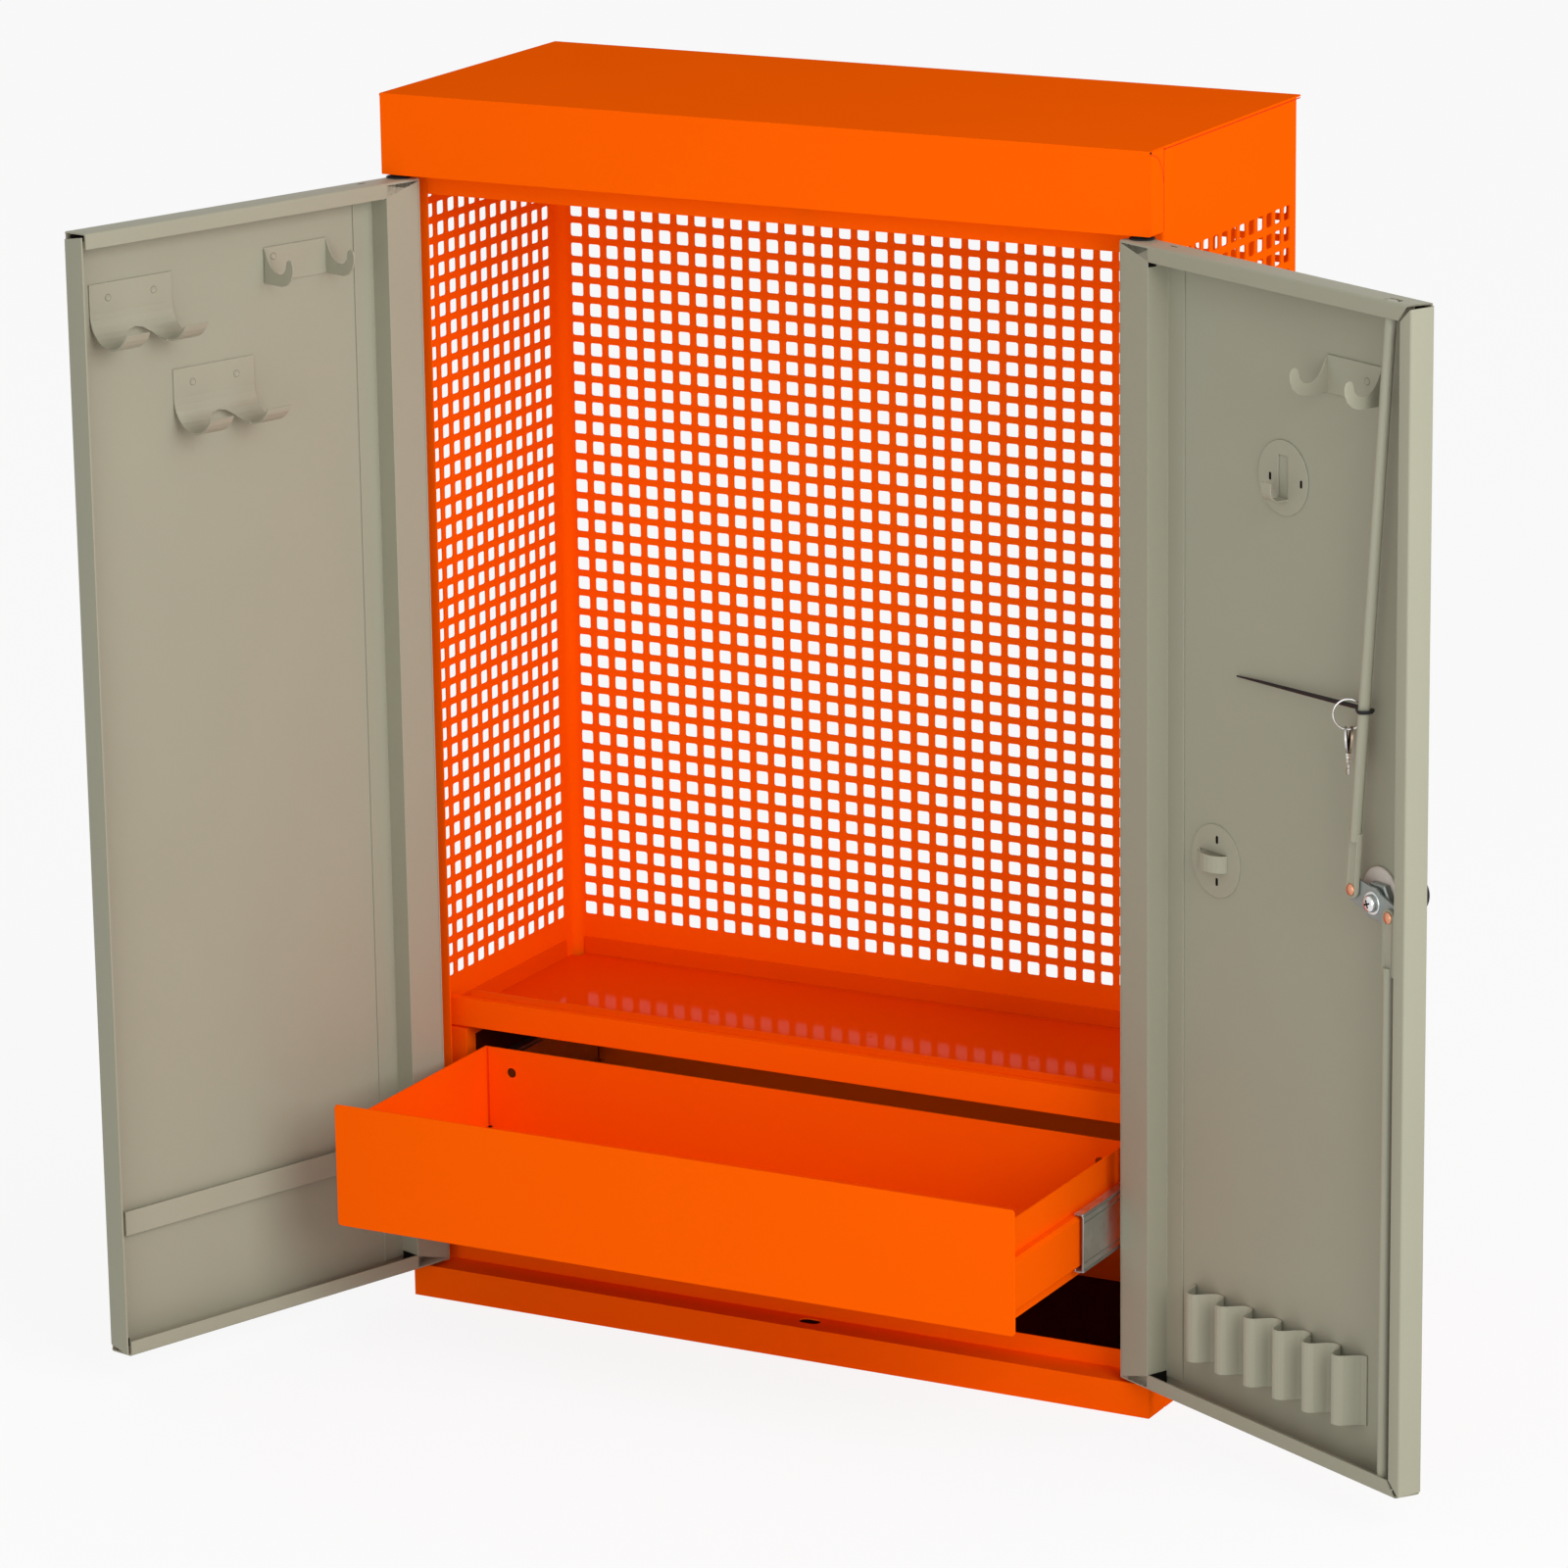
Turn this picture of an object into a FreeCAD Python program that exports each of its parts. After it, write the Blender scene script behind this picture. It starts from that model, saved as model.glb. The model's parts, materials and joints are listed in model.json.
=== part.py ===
"""Wall-hung tool cabinet: perforated shell, tray, drawer on telescopic slides, two pan doors.

X runs to the right, Y to the back and Z up. The origin is the centre of the base's bottom,
and every piece stands where it is with both doors and the drawer open.
"""
import FreeCAD, Part
import math
import os

import Sketcher

Vector = FreeCAD.Vector

# Driving sizes in millimetres, and the two opening angles in degrees.
SIZES = {
    # Whole cabinet
    "width": 600.0,
    "depth": 250.0,
    "height": 900.0,
    "gauge": 1.2,
    "setback": 25.0,
    "post_width": 22.0,
    "rear_bend": 8.0,
    "seam_margin": 0.6,
    # Hood and rail below it
    "hood_drop": 58.0,
    "hood_return": 22.0,
    "rail_drop": 75.0,
    "rail_return": 15.0,
    # Base
    "base_drop": 24.5,
    "riser_high": 38.0,
    "latch_slot_length": 17.0,
    "latch_slot_width": 10.0,
    # Perforation: square holes at a square pitch; one modelled opening stands for a group
    "hole_pitch": 15.0,
    "hole_side": 10.0,
    "hole_group": 4.0,
    "field_low": 235.0,
    "field_top_gap": 80.0,
    "side_field_front": 47.5,
    "side_field_back_gap": 22.5,
    # Tray and the rail in front of it
    "tray_low": 197.0,
    "tray_front": 50.5,
    "tray_front_high": 226.0,
    "tray_lip": 13.5,
    "tray_corner_gap": 8.0,
    "tray_front_inset": 25.0,
    "cross_rail_front": 44.0,
    "cross_rail_low": 199.0,
    "cross_rail_high": 220.5,
    # Runner brackets and slides
    "bracket_inset": 24.0,
    "slide_axis": 141.5,
    "slide_high": 47.2,
    "slide_middle_high": 42.8,
    "slide_inner_high": 38.0,
    "slide_race_gap": 3.0,
    "slide_hook": 0.6,
    "slide_outer_reach": 8.0,
    "slide_middle_reach": 10.0,
    "slide_front": 47.0,
    "slide_back_gap": 13.0,
    "slide_shoulder": 2.4,
    "slide_shoulder_drop": 2.0,
    # Drawer
    "drawer_overtravel": 4.0,
    "drawer_front_y": 42.0,
    "drawer_front_gauge": 1.5,
    "drawer_front_inset": 30.0,
    "drawer_front_low": 106.0,
    "drawer_front_high": 197.0,
    "drawer_front_corner": 3.0,
    "drawer_box_inset": 37.8,
    "drawer_box_low": 113.0,
    "drawer_box_floor": 123.0,
    "drawer_box_high": 185.0,
    "drawer_box_back_gap": 8.0,
    "drawer_hole_radius": 3.75,
    "drawer_hole_side": 21.0,
    "drawer_hole_down": 18.0,
    # Doors
    "left_open": 109.6,
    "right_open": 153.6,
    "pin_inset": 9.0,
    "pin_back": 8.0,
    "pin_radius": 3.0,
    "pin_play": 0.05,
    "pin_grip": 8.0,
    "pin_end": 1.5,
    "door_thick": 20.0,
    "door_skin_back": 1.0,
    "door_side_gap": 1.0,
    "door_middle_gap": 1.0,
    "door_top_gap": 3.0,
    "door_bottom_gap": 2.5,
    "door_lip": 11.0,
    "door_lip_gap": 2.0,
    "stile_lip": 22.0,
    "stile_foot": 17.0,
    "stile_end_gap": 5.0,
    "liner_gap": 0.3,
    "liner_flange_radius": 9.0,
    "liner_flange": 0.9,
    "liner_waist_radius": 5.6,
    "liner_top_radius": 7.0,
    "liner_radius": 4.5,
    "liner_depth": 4.0,
    # Door fittings: an inset runs from the free edge, a drop from the door's upper edge
    # Cradle holders, left door
    "cradle_width": 71.0,
    "cradle_plate": 21.0,
    "cradle_radius": 22.0,
    "cradle_notch": 30.0,
    "cradle_notch_down": 33.0,
    "cradle_high_inset": 53.5,
    "cradle_high_drop": 40.0,
    "cradle_low_inset": 123.0,
    "cradle_low_drop": 109.5,
    # Two-hook brackets, both doors
    "bracket_width": 56.0,
    "bracket_high": 25.5,
    "bracket_hook_out": 33.0,
    "bracket_hook_wide": 7.0,
    "bracket_hook_radius": 10.0,
    "bracket_left_s": 91.5,
    "bracket_left_drop": 35.0,
    "bracket_right_inset": 76.0,
    "bracket_right_drop": 49.5,
    # Holder bar, left door
    "bar_near": 45.0,
    "bar_far_inset": 13.0,
    "bar_low": 112.0,
    "bar_high": 130.0,
    "bar_out": 5.8,
    # Round plates, right door
    "round_radius": 25.5,
    "round_hook_s": 142.7,
    "round_hook_drop": 140.0,
    "round_hook_width": 10.0,
    "round_hook_window": 30.0,
    "round_hook_out": 16.0,
    "round_hook_up": 14.0,
    "round_strap_s": 73.9,
    "round_strap_z": 420.3,
    "strap_width": 12.0,
    "strap_root": 13.0,
    "strap_length": 30.0,
    "strap_out": 10.0,
    # Wave holder, right door
    "wave_near": 50.0,
    "wave_pitch": 31.0,
    "wave_far_inset": 54.0,
    "wave_low": 60.0,
    "wave_high": 110.0,
    "wave_out": 17.0,
    # Lock, right door
    "lock_inset": 40.5,
    "lock_arm": 19.7,
    "lock_angle": 16.2,
    "lock_collar_radius": 15.0,
    "lock_collar": 3.0,
    "lock_spindle_radius": 5.0,
    "lock_spindle_play": 0.05,
    "lock_nut_radius": 9.0,
    "lock_nut": 3.0,
    "cam_lift": 9.8,
    "cam_thick": 2.4,
    "cam_lobe_radius": 8.5,
    "cam_hub_radius": 11.0,
    "cam_screw_radius": 6.0,
    "cam_screw": 3.0,
    "knob_radius": 12.5,
    "knob_out": 22.0,
    "knob_gap": 0.3,
    "rod_radius": 4.0,
    "rod_flat": 2.0,
    "rod_flat_length": 40.0,
    "rod_eye_radius": 6.0,
    "rod_gap": 0.4,
    "rod_top_inset": 24.9,
    "rod_low_inset": 22.5,
    "rod_slot_length": 15.0,
    "rod_slot_width": 9.6,
    "rod_end_gap": 0.5,
    "rivet_radius": 2.6,
    "rivet_head": 1.2,
}

doc = FreeCAD.newDocument("tool_cabinet")
sheet = doc.addObject("Spreadsheet::Sheet", "sizes")
for row, (alias, number) in enumerate(SIZES.items(), start=1):
    sheet.set(f"A{row}", alias)
    sheet.set(f"B{row}", str(number))
    sheet.setAlias(f"B{row}", alias)
doc.recompute()


class Size:
    """A number from the sheet together with the expression that gives it."""

    def __init__(self, value, text):
        self.value = value
        self.text = text

    @staticmethod
    def of(other):
        return other if isinstance(other, Size) else Size(float(other), repr(float(other)))

    def __add__(self, other):
        other = Size.of(other)
        return Size(self.value + other.value, f"({self.text} + {other.text})")

    def __sub__(self, other):
        other = Size.of(other)
        return Size(self.value - other.value, f"({self.text} - {other.text})")

    def __mul__(self, other):
        other = Size.of(other)
        return Size(self.value * other.value, f"({self.text} * {other.text})")

    def __truediv__(self, other):
        other = Size.of(other)
        return Size(self.value / other.value, f"({self.text} / {other.text})")

    def __neg__(self):
        return Size(-self.value, f"(-1 * {self.text})")

    __radd__ = __add__
    __rmul__ = __mul__

    def __rsub__(self, other):
        return Size.of(other) - self


class Sheet:
    """Reads a cell of the sheet by its alias."""

    def __getattr__(self, alias):
        return Size(float(sheet.get(alias)), f"sizes.{alias}")


def whole(size):
    return Size(math.floor(size.value), f"floor({size.text})")


S = Sheet()
ZERO = Size.of(0)


def bind(item, prop, size):
    item.setExpression(prop, Size.of(size).text)


# Sketches, pads and cuts

class Disc:
    """A full circle of a sketch."""

    def __init__(self, u, v, radius):
        self.u, self.v, self.radius = Size.of(u), Size.of(v), Size.of(radius)


def origin_item(body, role):
    return next(item for item in body.Origin.OriginFeatures if item.Role == role)


def outward(sketch):
    """The XZ plane's normal runs to -Y, those of the other two run to + of their axis."""
    return sketch.AttachmentSupport[0][0].Role != "XZ_Plane"


def draw(body, plane, at, *loops):
    """A sketch parallel to a plane of the body, at a height along that plane's axis."""
    sketch = body.newObject("Sketcher::SketchObject", f"{body.Label}_outline")
    sketch.AttachmentSupport = (origin_item(body, f"{plane}_Plane"), [""])
    sketch.MapMode = "FlatFace"
    at = Size.of(at)
    bind(sketch, "AttachmentOffset.Base.z", at if outward(sketch) else -at)
    for loop in loops:
        if isinstance(loop, Disc):
            centre = Vector(loop.u.value, loop.v.value, 0)
            circle = sketch.addGeometry(Part.Circle(centre, Vector(0, 0, 1), loop.radius.value))
            rules = [("DistanceX", circle, 3, loop.u), ("DistanceY", circle, 3, loop.v)]
            radius = sketch.addConstraint(Sketcher.Constraint("Radius", circle, loop.radius.value))
            bind(sketch, f"Constraints[{radius}]", loop.radius)
        else:
            corners = [(Size.of(u), Size.of(v)) for u, v in loop]
            points = [Vector(u.value, v.value, 0) for u, v in corners]
            lines = sketch.addGeometry([
                Part.LineSegment(point, points[(n + 1) % len(points)])
                for n, point in enumerate(points)
            ])
            sketch.addConstraint([
                Sketcher.Constraint("Coincident", line, 2, lines[(n + 1) % len(lines)], 1)
                for n, line in enumerate(lines)
            ])
            rules = []
            for line, (u, v) in zip(lines, corners):
                rules += [("DistanceX", line, 1, u), ("DistanceY", line, 1, v)]
        placed = sketch.addConstraint([
            Sketcher.Constraint(kind, -1, 1, part, spot, size.value)
            for kind, part, spot, size in rules
        ])
        for index, (_, _, _, size) in zip(placed, rules):
            bind(sketch, f"Constraints[{index}]", size)
    return sketch


def pad(body, sketch, length):
    """Adds the outline's sweep towards + of its axis."""
    feature = body.newObject("PartDesign::Pad", f"{body.Label}_pad")
    feature.Profile = sketch
    bind(feature, "Length", length)
    feature.Reversed = not outward(sketch)
    return feature


def cut(body, sketch, length):
    """Removes the outline's sweep towards + of its axis."""
    feature = body.newObject("PartDesign::Pocket", f"{body.Label}_cut")
    feature.Profile = sketch
    bind(feature, "Length", length)
    feature.Reversed = outward(sketch)
    return feature


def new_body(label):
    body = doc.addObject("PartDesign::Body", label)
    body.Label = label
    return body


def box_pad(body, plane, at, length, u_span, v_span):
    return pad(body, draw(body, plane, at, rectangle(u_span, v_span)), length)


def box_cut(body, plane, at, length, u_span, v_span):
    return cut(body, draw(body, plane, at, rectangle(u_span, v_span)), length)


def rectangle(u_span, v_span):
    (u0, u1), (v0, v1) = u_span, v_span
    return [(u0, v0), (u1, v0), (u1, v1), (u0, v1)]


def arc(u, v, radius_u, radius_v, start, stop, steps):
    """Points along an elliptic arc, between two angles in degrees."""
    turns = [math.radians(start + (stop - start) * n / steps) for n in range(steps + 1)]
    return [(u + radius_u * math.cos(turn), v + radius_v * math.sin(turn)) for turn in turns]


def stadium(u, v, length, width, steps=6):
    """A round-ended slot along u."""
    reach, radius = (length - width) / 2, width / 2
    right = arc(u + reach, v, radius, radius, -90, 90, steps)
    left = arc(u - reach, v, radius, radius, 90, 270, steps)
    return right + left


def grid(body, feature, sketch, u_step, u_count, v_step, v_count):
    """Repeats a cut along both axes of its sketch."""
    pattern = body.newObject("PartDesign::LinearPattern", f"{body.Label}_grid")
    pattern.Originals = [feature]
    pattern.Direction = (sketch, ["H_Axis"])
    pattern.Mode = "Spacing"
    bind(pattern, "Offset", u_step)
    bind(pattern, "Occurrences", u_count)
    pattern.Direction2 = (sketch, ["V_Axis"])
    pattern.Mode2 = "Spacing"
    bind(pattern, "Offset2", v_step)
    bind(pattern, "Occurrences2", v_count)
    body.Tip = pattern
    return pattern


def round_uprights(body, feature, spots, radius):
    """Rounds the vertical edges that stand at the given places in plan."""
    doc.recompute()
    near = 1e-3
    names = []
    for number, edge in enumerate(feature.Shape.Edges, start=1):
        places = {(round(v.X / near), round(v.Y / near)) for v in edge.Vertexes}
        if any(places == {(round(x.value / near), round(y.value / near))} for x, y in spots):
            names.append(f"Edge{number}")
    fillet = body.newObject("PartDesign::Fillet", f"{body.Label}_bend")
    fillet.Base = (feature, names)
    bind(fillet, "Radius", radius)
    return fillet


def revolve(body, profile):
    """Turns an outline of (radius, height) corners about the body's Z axis."""
    feature = body.newObject("PartDesign::Revolution", f"{body.Label}_turn")
    feature.Profile = draw(body, "XZ", ZERO, profile)
    feature.ReferenceAxis = (origin_item(body, "Z_Axis"), [""])
    feature.Angle = 360
    return feature


def place(body, x, y):
    bind(body, "Placement.Base.x", x)
    bind(body, "Placement.Base.y", y)


# Planes of the cabinet that several pieces share
half = S.width / 2
front = -S.depth / 2
rear = S.depth / 2
shell_front = front + S.setback
inner_half = half - S.gauge
inner_rear = rear - S.gauge
shell_top = S.height - S.gauge
pin_x = half - S.pin_inset
pin_y = front + S.pin_back
skin_out = S.door_skin_back - S.pin_back
skin_in = skin_out + S.gauge
rod_c = skin_in + S.cam_lift + S.cam_thick + S.rod_gap + S.rod_flat / 2
door_low = S.base_drop + S.door_bottom_gap
door_high = S.height - S.hood_drop - S.door_top_gap
free_edge = half - S.pin_inset - S.door_middle_gap / 2
rod_top_s = free_edge - S.rod_top_inset
rod_low_s = free_edge - S.rod_low_inset


# Hood: top sheet, fascia and the return that holds the upper pins
hood = new_body("top_hood")
hood_low = S.height - S.hood_drop
pad(hood, draw(hood, "YZ", -half, [
    (front, S.height), (rear, S.height), (rear, shell_top),
    (front + S.gauge, shell_top), (front + S.gauge, hood_low + S.gauge),
    (front + S.hood_return, hood_low + S.gauge), (front + S.hood_return, hood_low),
    (front, hood_low),
]), S.width)
cheek = S.hood_return - S.gauge
for at in (-half, half - S.gauge):
    # The cheek's upper edge is a hollow quarter round that runs into the fascia
    curve = arc(front + S.hood_return, shell_top, cheek, cheek, 270, 180, 10)
    pad(hood, draw(hood, "YZ", at, [
        (front + S.gauge, hood_low + S.gauge), (front + S.hood_return, hood_low + S.gauge),
    ] + curve), S.gauge)
cut(hood, draw(hood, "XY", hood_low,
               Disc(-pin_x, pin_y, S.pin_radius), Disc(pin_x, pin_y, S.pin_radius)), S.gauge)
cut(hood, draw(hood, "XY", hood_low, stadium(
    pin_x - rod_top_s, pin_y + rod_c, S.latch_slot_length, S.latch_slot_width)), S.gauge)

# Header rail behind the fascia, between the two posts
rail = new_body("header_rail")
rail_low = S.height - S.rail_drop
pad(rail, draw(rail, "YZ", S.post_width - half, [
    (shell_front, rail_low), (shell_front + S.rail_return, rail_low),
    (shell_front + S.rail_return, rail_low + S.gauge),
    (shell_front + S.gauge, rail_low + S.gauge), (shell_front + S.gauge, shell_top),
    (shell_front, shell_top),
]), S.width - 2 * S.post_width)

# Perforation: the real field is a grid of square holes, opened here in groups
group_pitch = S.hole_pitch * S.hole_group
group_side = S.hole_side * S.hole_group
field_high = S.height - S.field_top_gap
field_middle = (S.field_low + field_high) / 2
field_rows = whole((field_high - S.field_low + S.hole_pitch) / group_pitch)
first_row = field_middle - group_pitch * (field_rows - 1) / 2 - group_side / 2

# Sides: a post in front, the web, and the rounded bend into the back
seam = S.rear_bend + S.gauge + S.seam_margin
side_field_back = S.depth - S.side_field_back_gap
side_middle = front + (S.side_field_front + side_field_back) / 2
side_span = side_field_back - S.side_field_front + S.hole_pitch
side_columns = whole(side_span / group_pitch)
for label, side in (("side_panel_left", -1), ("side_panel_right", 1)):
    panel = new_body(label)
    web = pad(panel, draw(panel, "XY", ZERO, [
        (side * (half - S.post_width), shell_front), (side * half, shell_front),
        (side * half, rear), (side * (half - seam), rear),
        (side * (half - seam), inner_rear), (side * inner_half, inner_rear),
        (side * inner_half, shell_front + S.gauge),
        (side * (half - S.post_width), shell_front + S.gauge),
    ]), shell_top)
    bend = round_uprights(panel, web, [(side * half, rear)], S.rear_bend + S.gauge)
    round_uprights(panel, bend, [(side * inner_half, inner_rear)], S.rear_bend)
    first_column = side_middle - group_pitch * (side_columns - 1) / 2 - group_side / 2
    start = -half if side < 0 else inner_half
    window = draw(panel, "YZ", start, rectangle(
        (first_column, first_column + group_side), (first_row, first_row + group_side)))
    opening = cut(panel, window, S.gauge)
    grid(panel, opening, window, group_pitch, side_columns, group_pitch, field_rows)

# Back between the two bends
back = new_body("back_panel")
back_half = half - seam
back_columns = whole((S.width - S.hole_pitch) / group_pitch)
box_pad(back, "XZ", inner_rear, S.gauge, (-back_half, back_half), (ZERO, shell_top))
first_column = -group_pitch * (back_columns - 1) / 2 - group_side / 2
window = draw(back, "XZ", inner_rear, rectangle(
    (first_column, first_column + group_side), (first_row, first_row + group_side)))
opening = cut(back, window, S.gauge)
grid(back, opening, window, group_pitch, back_columns, group_pitch, field_rows)

# Base: bottom sheet, fascia, ledge with the lower pins, and the riser behind it
base = new_body("base_pan")
ledge_low = S.base_drop - S.gauge
post_line = half - S.post_width
pad(base, draw(base, "YZ", -half, [
    (front, ZERO), (front, S.base_drop), (shell_front, S.base_drop),
    (shell_front, ledge_low), (front + S.gauge, ledge_low),
    (front + S.gauge, S.gauge), (shell_front, S.gauge), (shell_front, ZERO),
]), S.width)
for at in (-half, half - S.gauge):
    box_pad(base, "YZ", at, S.gauge, (front + S.gauge, shell_front), (S.gauge, ledge_low))
pad(base, draw(base, "YZ", -post_line, [
    (shell_front, ledge_low), (shell_front, S.riser_high),
    (shell_front + S.gauge, S.riser_high), (shell_front + S.gauge, ledge_low),
]), 2 * post_line)
# The bottom sheet keeps inside the posts, the sides and the rounded rear corners
pad(base, draw(base, "XY", ZERO, [
    (-post_line, shell_front), (post_line, shell_front),
    (post_line, shell_front + S.gauge), (inner_half, shell_front + S.gauge),
    (inner_half, inner_rear - S.rear_bend), (inner_half - S.rear_bend, inner_rear - S.rear_bend),
    (inner_half - S.rear_bend, inner_rear), (S.rear_bend - inner_half, inner_rear),
    (S.rear_bend - inner_half, inner_rear - S.rear_bend), (-inner_half, inner_rear - S.rear_bend),
    (-inner_half, shell_front + S.gauge), (-post_line, shell_front + S.gauge),
]), S.gauge)
cut(base, draw(base, "XY", ledge_low,
               Disc(-pin_x, pin_y, S.pin_radius), Disc(pin_x, pin_y, S.pin_radius)), S.gauge)
cut(base, draw(base, "XY", ledge_low, stadium(
    pin_x - rod_low_s, pin_y + rod_c, S.latch_slot_length, S.latch_slot_width)), S.gauge)

# Tray: floor with a tall lip in front
tray = new_body("shelf_tray")
tray_front = front + S.tray_front
tray_floor = S.tray_low + S.gauge
tray_lip_high = tray_floor + S.tray_lip
tray_back = inner_rear - S.gauge
tray_side = inner_half - S.rear_bend
pad(tray, draw(tray, "YZ", -inner_half, [
    (tray_front, S.tray_low), (tray_front, tray_floor), (inner_rear - S.rear_bend, tray_floor),
    (inner_rear - S.rear_bend, S.tray_low),
]), 2 * inner_half)
box_pad(tray, "YZ", -tray_side, 2 * tray_side, (inner_rear - S.rear_bend, inner_rear),
        (S.tray_low, tray_floor))
box_pad(tray, "XZ", tray_front, S.gauge,
        (S.tray_front_inset - half, half - S.tray_front_inset), (tray_floor, S.tray_front_high))

# Low lips along the tray's back and sides, parted at the corners
lips = new_body("tray_lips")
box_pad(lips, "XZ", tray_back, S.gauge, (-tray_side, tray_side), (tray_floor, tray_lip_high))
for at in (-inner_half, inner_half - S.gauge):
    box_pad(lips, "YZ", at, S.gauge, (tray_front + S.tray_corner_gap,
            inner_rear - S.rear_bend - S.tray_corner_gap), (tray_floor, tray_lip_high))

# Cross rail over the drawer, in front of the tray's lip
cross = new_body("tray_rail")
cross_front = front + S.cross_rail_front
pad(cross, draw(cross, "YZ", -inner_half, [
    (cross_front, S.cross_rail_low), (cross_front, S.cross_rail_high),
    (tray_front, S.cross_rail_high), (tray_front, S.cross_rail_high - S.gauge),
    (cross_front + S.gauge, S.cross_rail_high - S.gauge),
    (cross_front + S.gauge, S.cross_rail_low),
]), 2 * inner_half)

# Runner brackets: they stand on the bottom sheet and carry the tray and the slides
bracket_half = half - S.bracket_inset
for label, side in (("runner_bracket_left", -1), ("runner_bracket_right", 1)):
    bracket = new_body(label)
    pad(bracket, draw(bracket, "XY", S.gauge, [
        (side * inner_half, cross_front), (side * bracket_half, cross_front),
        (side * bracket_half, inner_rear - S.rear_bend),
        (side * (bracket_half + S.gauge), inner_rear - S.rear_bend),
        (side * (bracket_half + S.gauge), cross_front + S.gauge),
        (side * inner_half, cross_front + S.gauge),
    ]), S.tray_low - S.gauge)
    u_span = (side * (bracket_half + S.gauge), side * inner_half)
    box_pad(bracket, "XY", S.tray_low - S.gauge, S.gauge, u_span,
            (cross_front + S.gauge, inner_rear - S.rear_bend))


# Slides: the cabinet member, the middle member and the drawer's own rail
def channel(x, side, half_high, reach, hook):
    """A rolled channel's section: its web stands at x and its mouth looks to the drawer."""
    axis, gauge = S.slide_axis, S.gauge
    web, mouth = side * x, side * (x - reach)
    upper = [
        (web, axis + half_high), (mouth, axis + half_high),
        (mouth, axis + half_high - gauge - hook),
        (mouth + side * gauge, axis + half_high - gauge - hook),
        (mouth + side * gauge, axis + half_high - gauge),
        (web - side * gauge, axis + half_high - gauge),
    ]
    lower = [(u, 2 * axis - v) for u, v in reversed(upper)]
    return upper + lower


slide_front = front + S.slide_front
slide_length = S.depth - S.slide_front - S.slide_back_gap
drawer_travel = slide_length + S.drawer_overtravel
middle_front = slide_front - drawer_travel / 2
box_half = half - S.drawer_box_inset
box_front = front + S.drawer_front_y + S.drawer_front_gauge - drawer_travel
box_back = rear - S.drawer_box_back_gap - drawer_travel
for name, side in (("left", -1), ("right", 1)):
    outer = new_body(f"slide_outer_{name}")
    pad(outer, draw(outer, "XZ", slide_front, channel(
        bracket_half, side, S.slide_high / 2, S.slide_outer_reach, S.slide_hook)),
        slide_length)
    middle = new_body(f"slide_middle_{name}")
    pad(middle, draw(middle, "XZ", middle_front, channel(
        bracket_half - S.slide_race_gap, side, S.slide_middle_high / 2,
        S.slide_middle_reach - S.slide_race_gap, S.slide_hook)), slide_length)
    inner = new_body(f"drawer_rail_{name}")
    face = bracket_half - S.slide_race_gap - S.gauge - S.slide_shoulder
    high = S.slide_inner_high / 2
    outline = [
        (side * box_half, S.slide_axis + high),
        (side * (face - S.slide_shoulder), S.slide_axis + high),
        (side * face, S.slide_axis + high - S.slide_shoulder_drop),
    ]
    hollow = [
        (side * (face - S.gauge), S.slide_axis + high - S.slide_shoulder_drop - S.gauge / 2),
        (side * (face - S.slide_shoulder - S.gauge / 2), S.slide_axis + high - S.gauge),
        (side * box_half, S.slide_axis + high - S.gauge),
    ]
    below = [(u, 2 * S.slide_axis - v) for u, v in reversed(outline)]
    hollow_below = [(u, 2 * S.slide_axis - v) for u, v in reversed(hollow)]
    pad(inner, draw(inner, "XZ", box_front, outline + below + hollow_below + hollow),
        box_back - box_front)

# Drawer box: folded trough with a back wall
box = new_body("drawer_box")
trough_half = box_half - S.gauge
floor_low = S.drawer_box_floor - S.gauge
pad(box, draw(box, "XZ", box_front, [
    (-box_half, S.drawer_box_low), (-box_half, S.drawer_box_high),
    (-trough_half, S.drawer_box_high), (-trough_half, S.drawer_box_floor),
    (trough_half, S.drawer_box_floor), (trough_half, S.drawer_box_high),
    (box_half, S.drawer_box_high), (box_half, S.drawer_box_low),
    (trough_half, S.drawer_box_low), (trough_half, floor_low),
    (-trough_half, floor_low), (-trough_half, S.drawer_box_low),
]), box_back - box_front)
box_pad(box, "XZ", box_back - S.gauge, S.gauge, (-trough_half, trough_half),
        (S.drawer_box_floor, S.drawer_box_high))
hole_u = trough_half - S.drawer_hole_side
hole_v = S.drawer_box_high - S.drawer_hole_down
cut(box, draw(box, "XZ", box_back - S.gauge, Disc(-hole_u, hole_v, S.drawer_hole_radius),
              Disc(hole_u, hole_v, S.drawer_hole_radius)), S.gauge)

# Drawer front: a flat plate with small rounded corners
plate = new_body("drawer_front")
plate_half = half - S.drawer_front_inset
corner = S.drawer_front_corner
corners = [
    (plate_half - corner, S.drawer_front_high - corner, 0),
    (corner - plate_half, S.drawer_front_high - corner, 90),
    (corner - plate_half, S.drawer_front_low + corner, 180),
    (plate_half - corner, S.drawer_front_low + corner, 270),
]
outline = []
for u, v, turn in corners:
    outline += arc(u, v, corner, corner, turn, turn + 90, 4)
pad(plate, draw(plate, "XZ", box_front - S.drawer_front_gauge, outline), S.drawer_front_gauge)

# Hinge pins, set through the hood's return and the base's ledge
pins = new_body("hinge_pins")
for low, high in ((door_high - S.pin_grip, hood_low + S.gauge + S.pin_end),
                  (ledge_low - S.pin_end, door_low + S.pin_grip)):
    pad(pins, draw(pins, "XY", low, Disc(-pin_x, pin_y, S.pin_radius),
                   Disc(pin_x, pin_y, S.pin_radius)), high - low)


# Doors are drawn closed, about their own pin, and then swung to where they stand
lip_out = skin_out + S.door_thick
lip_in = lip_out - S.gauge
hinge_edge = S.door_side_gap - S.pin_inset


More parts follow.
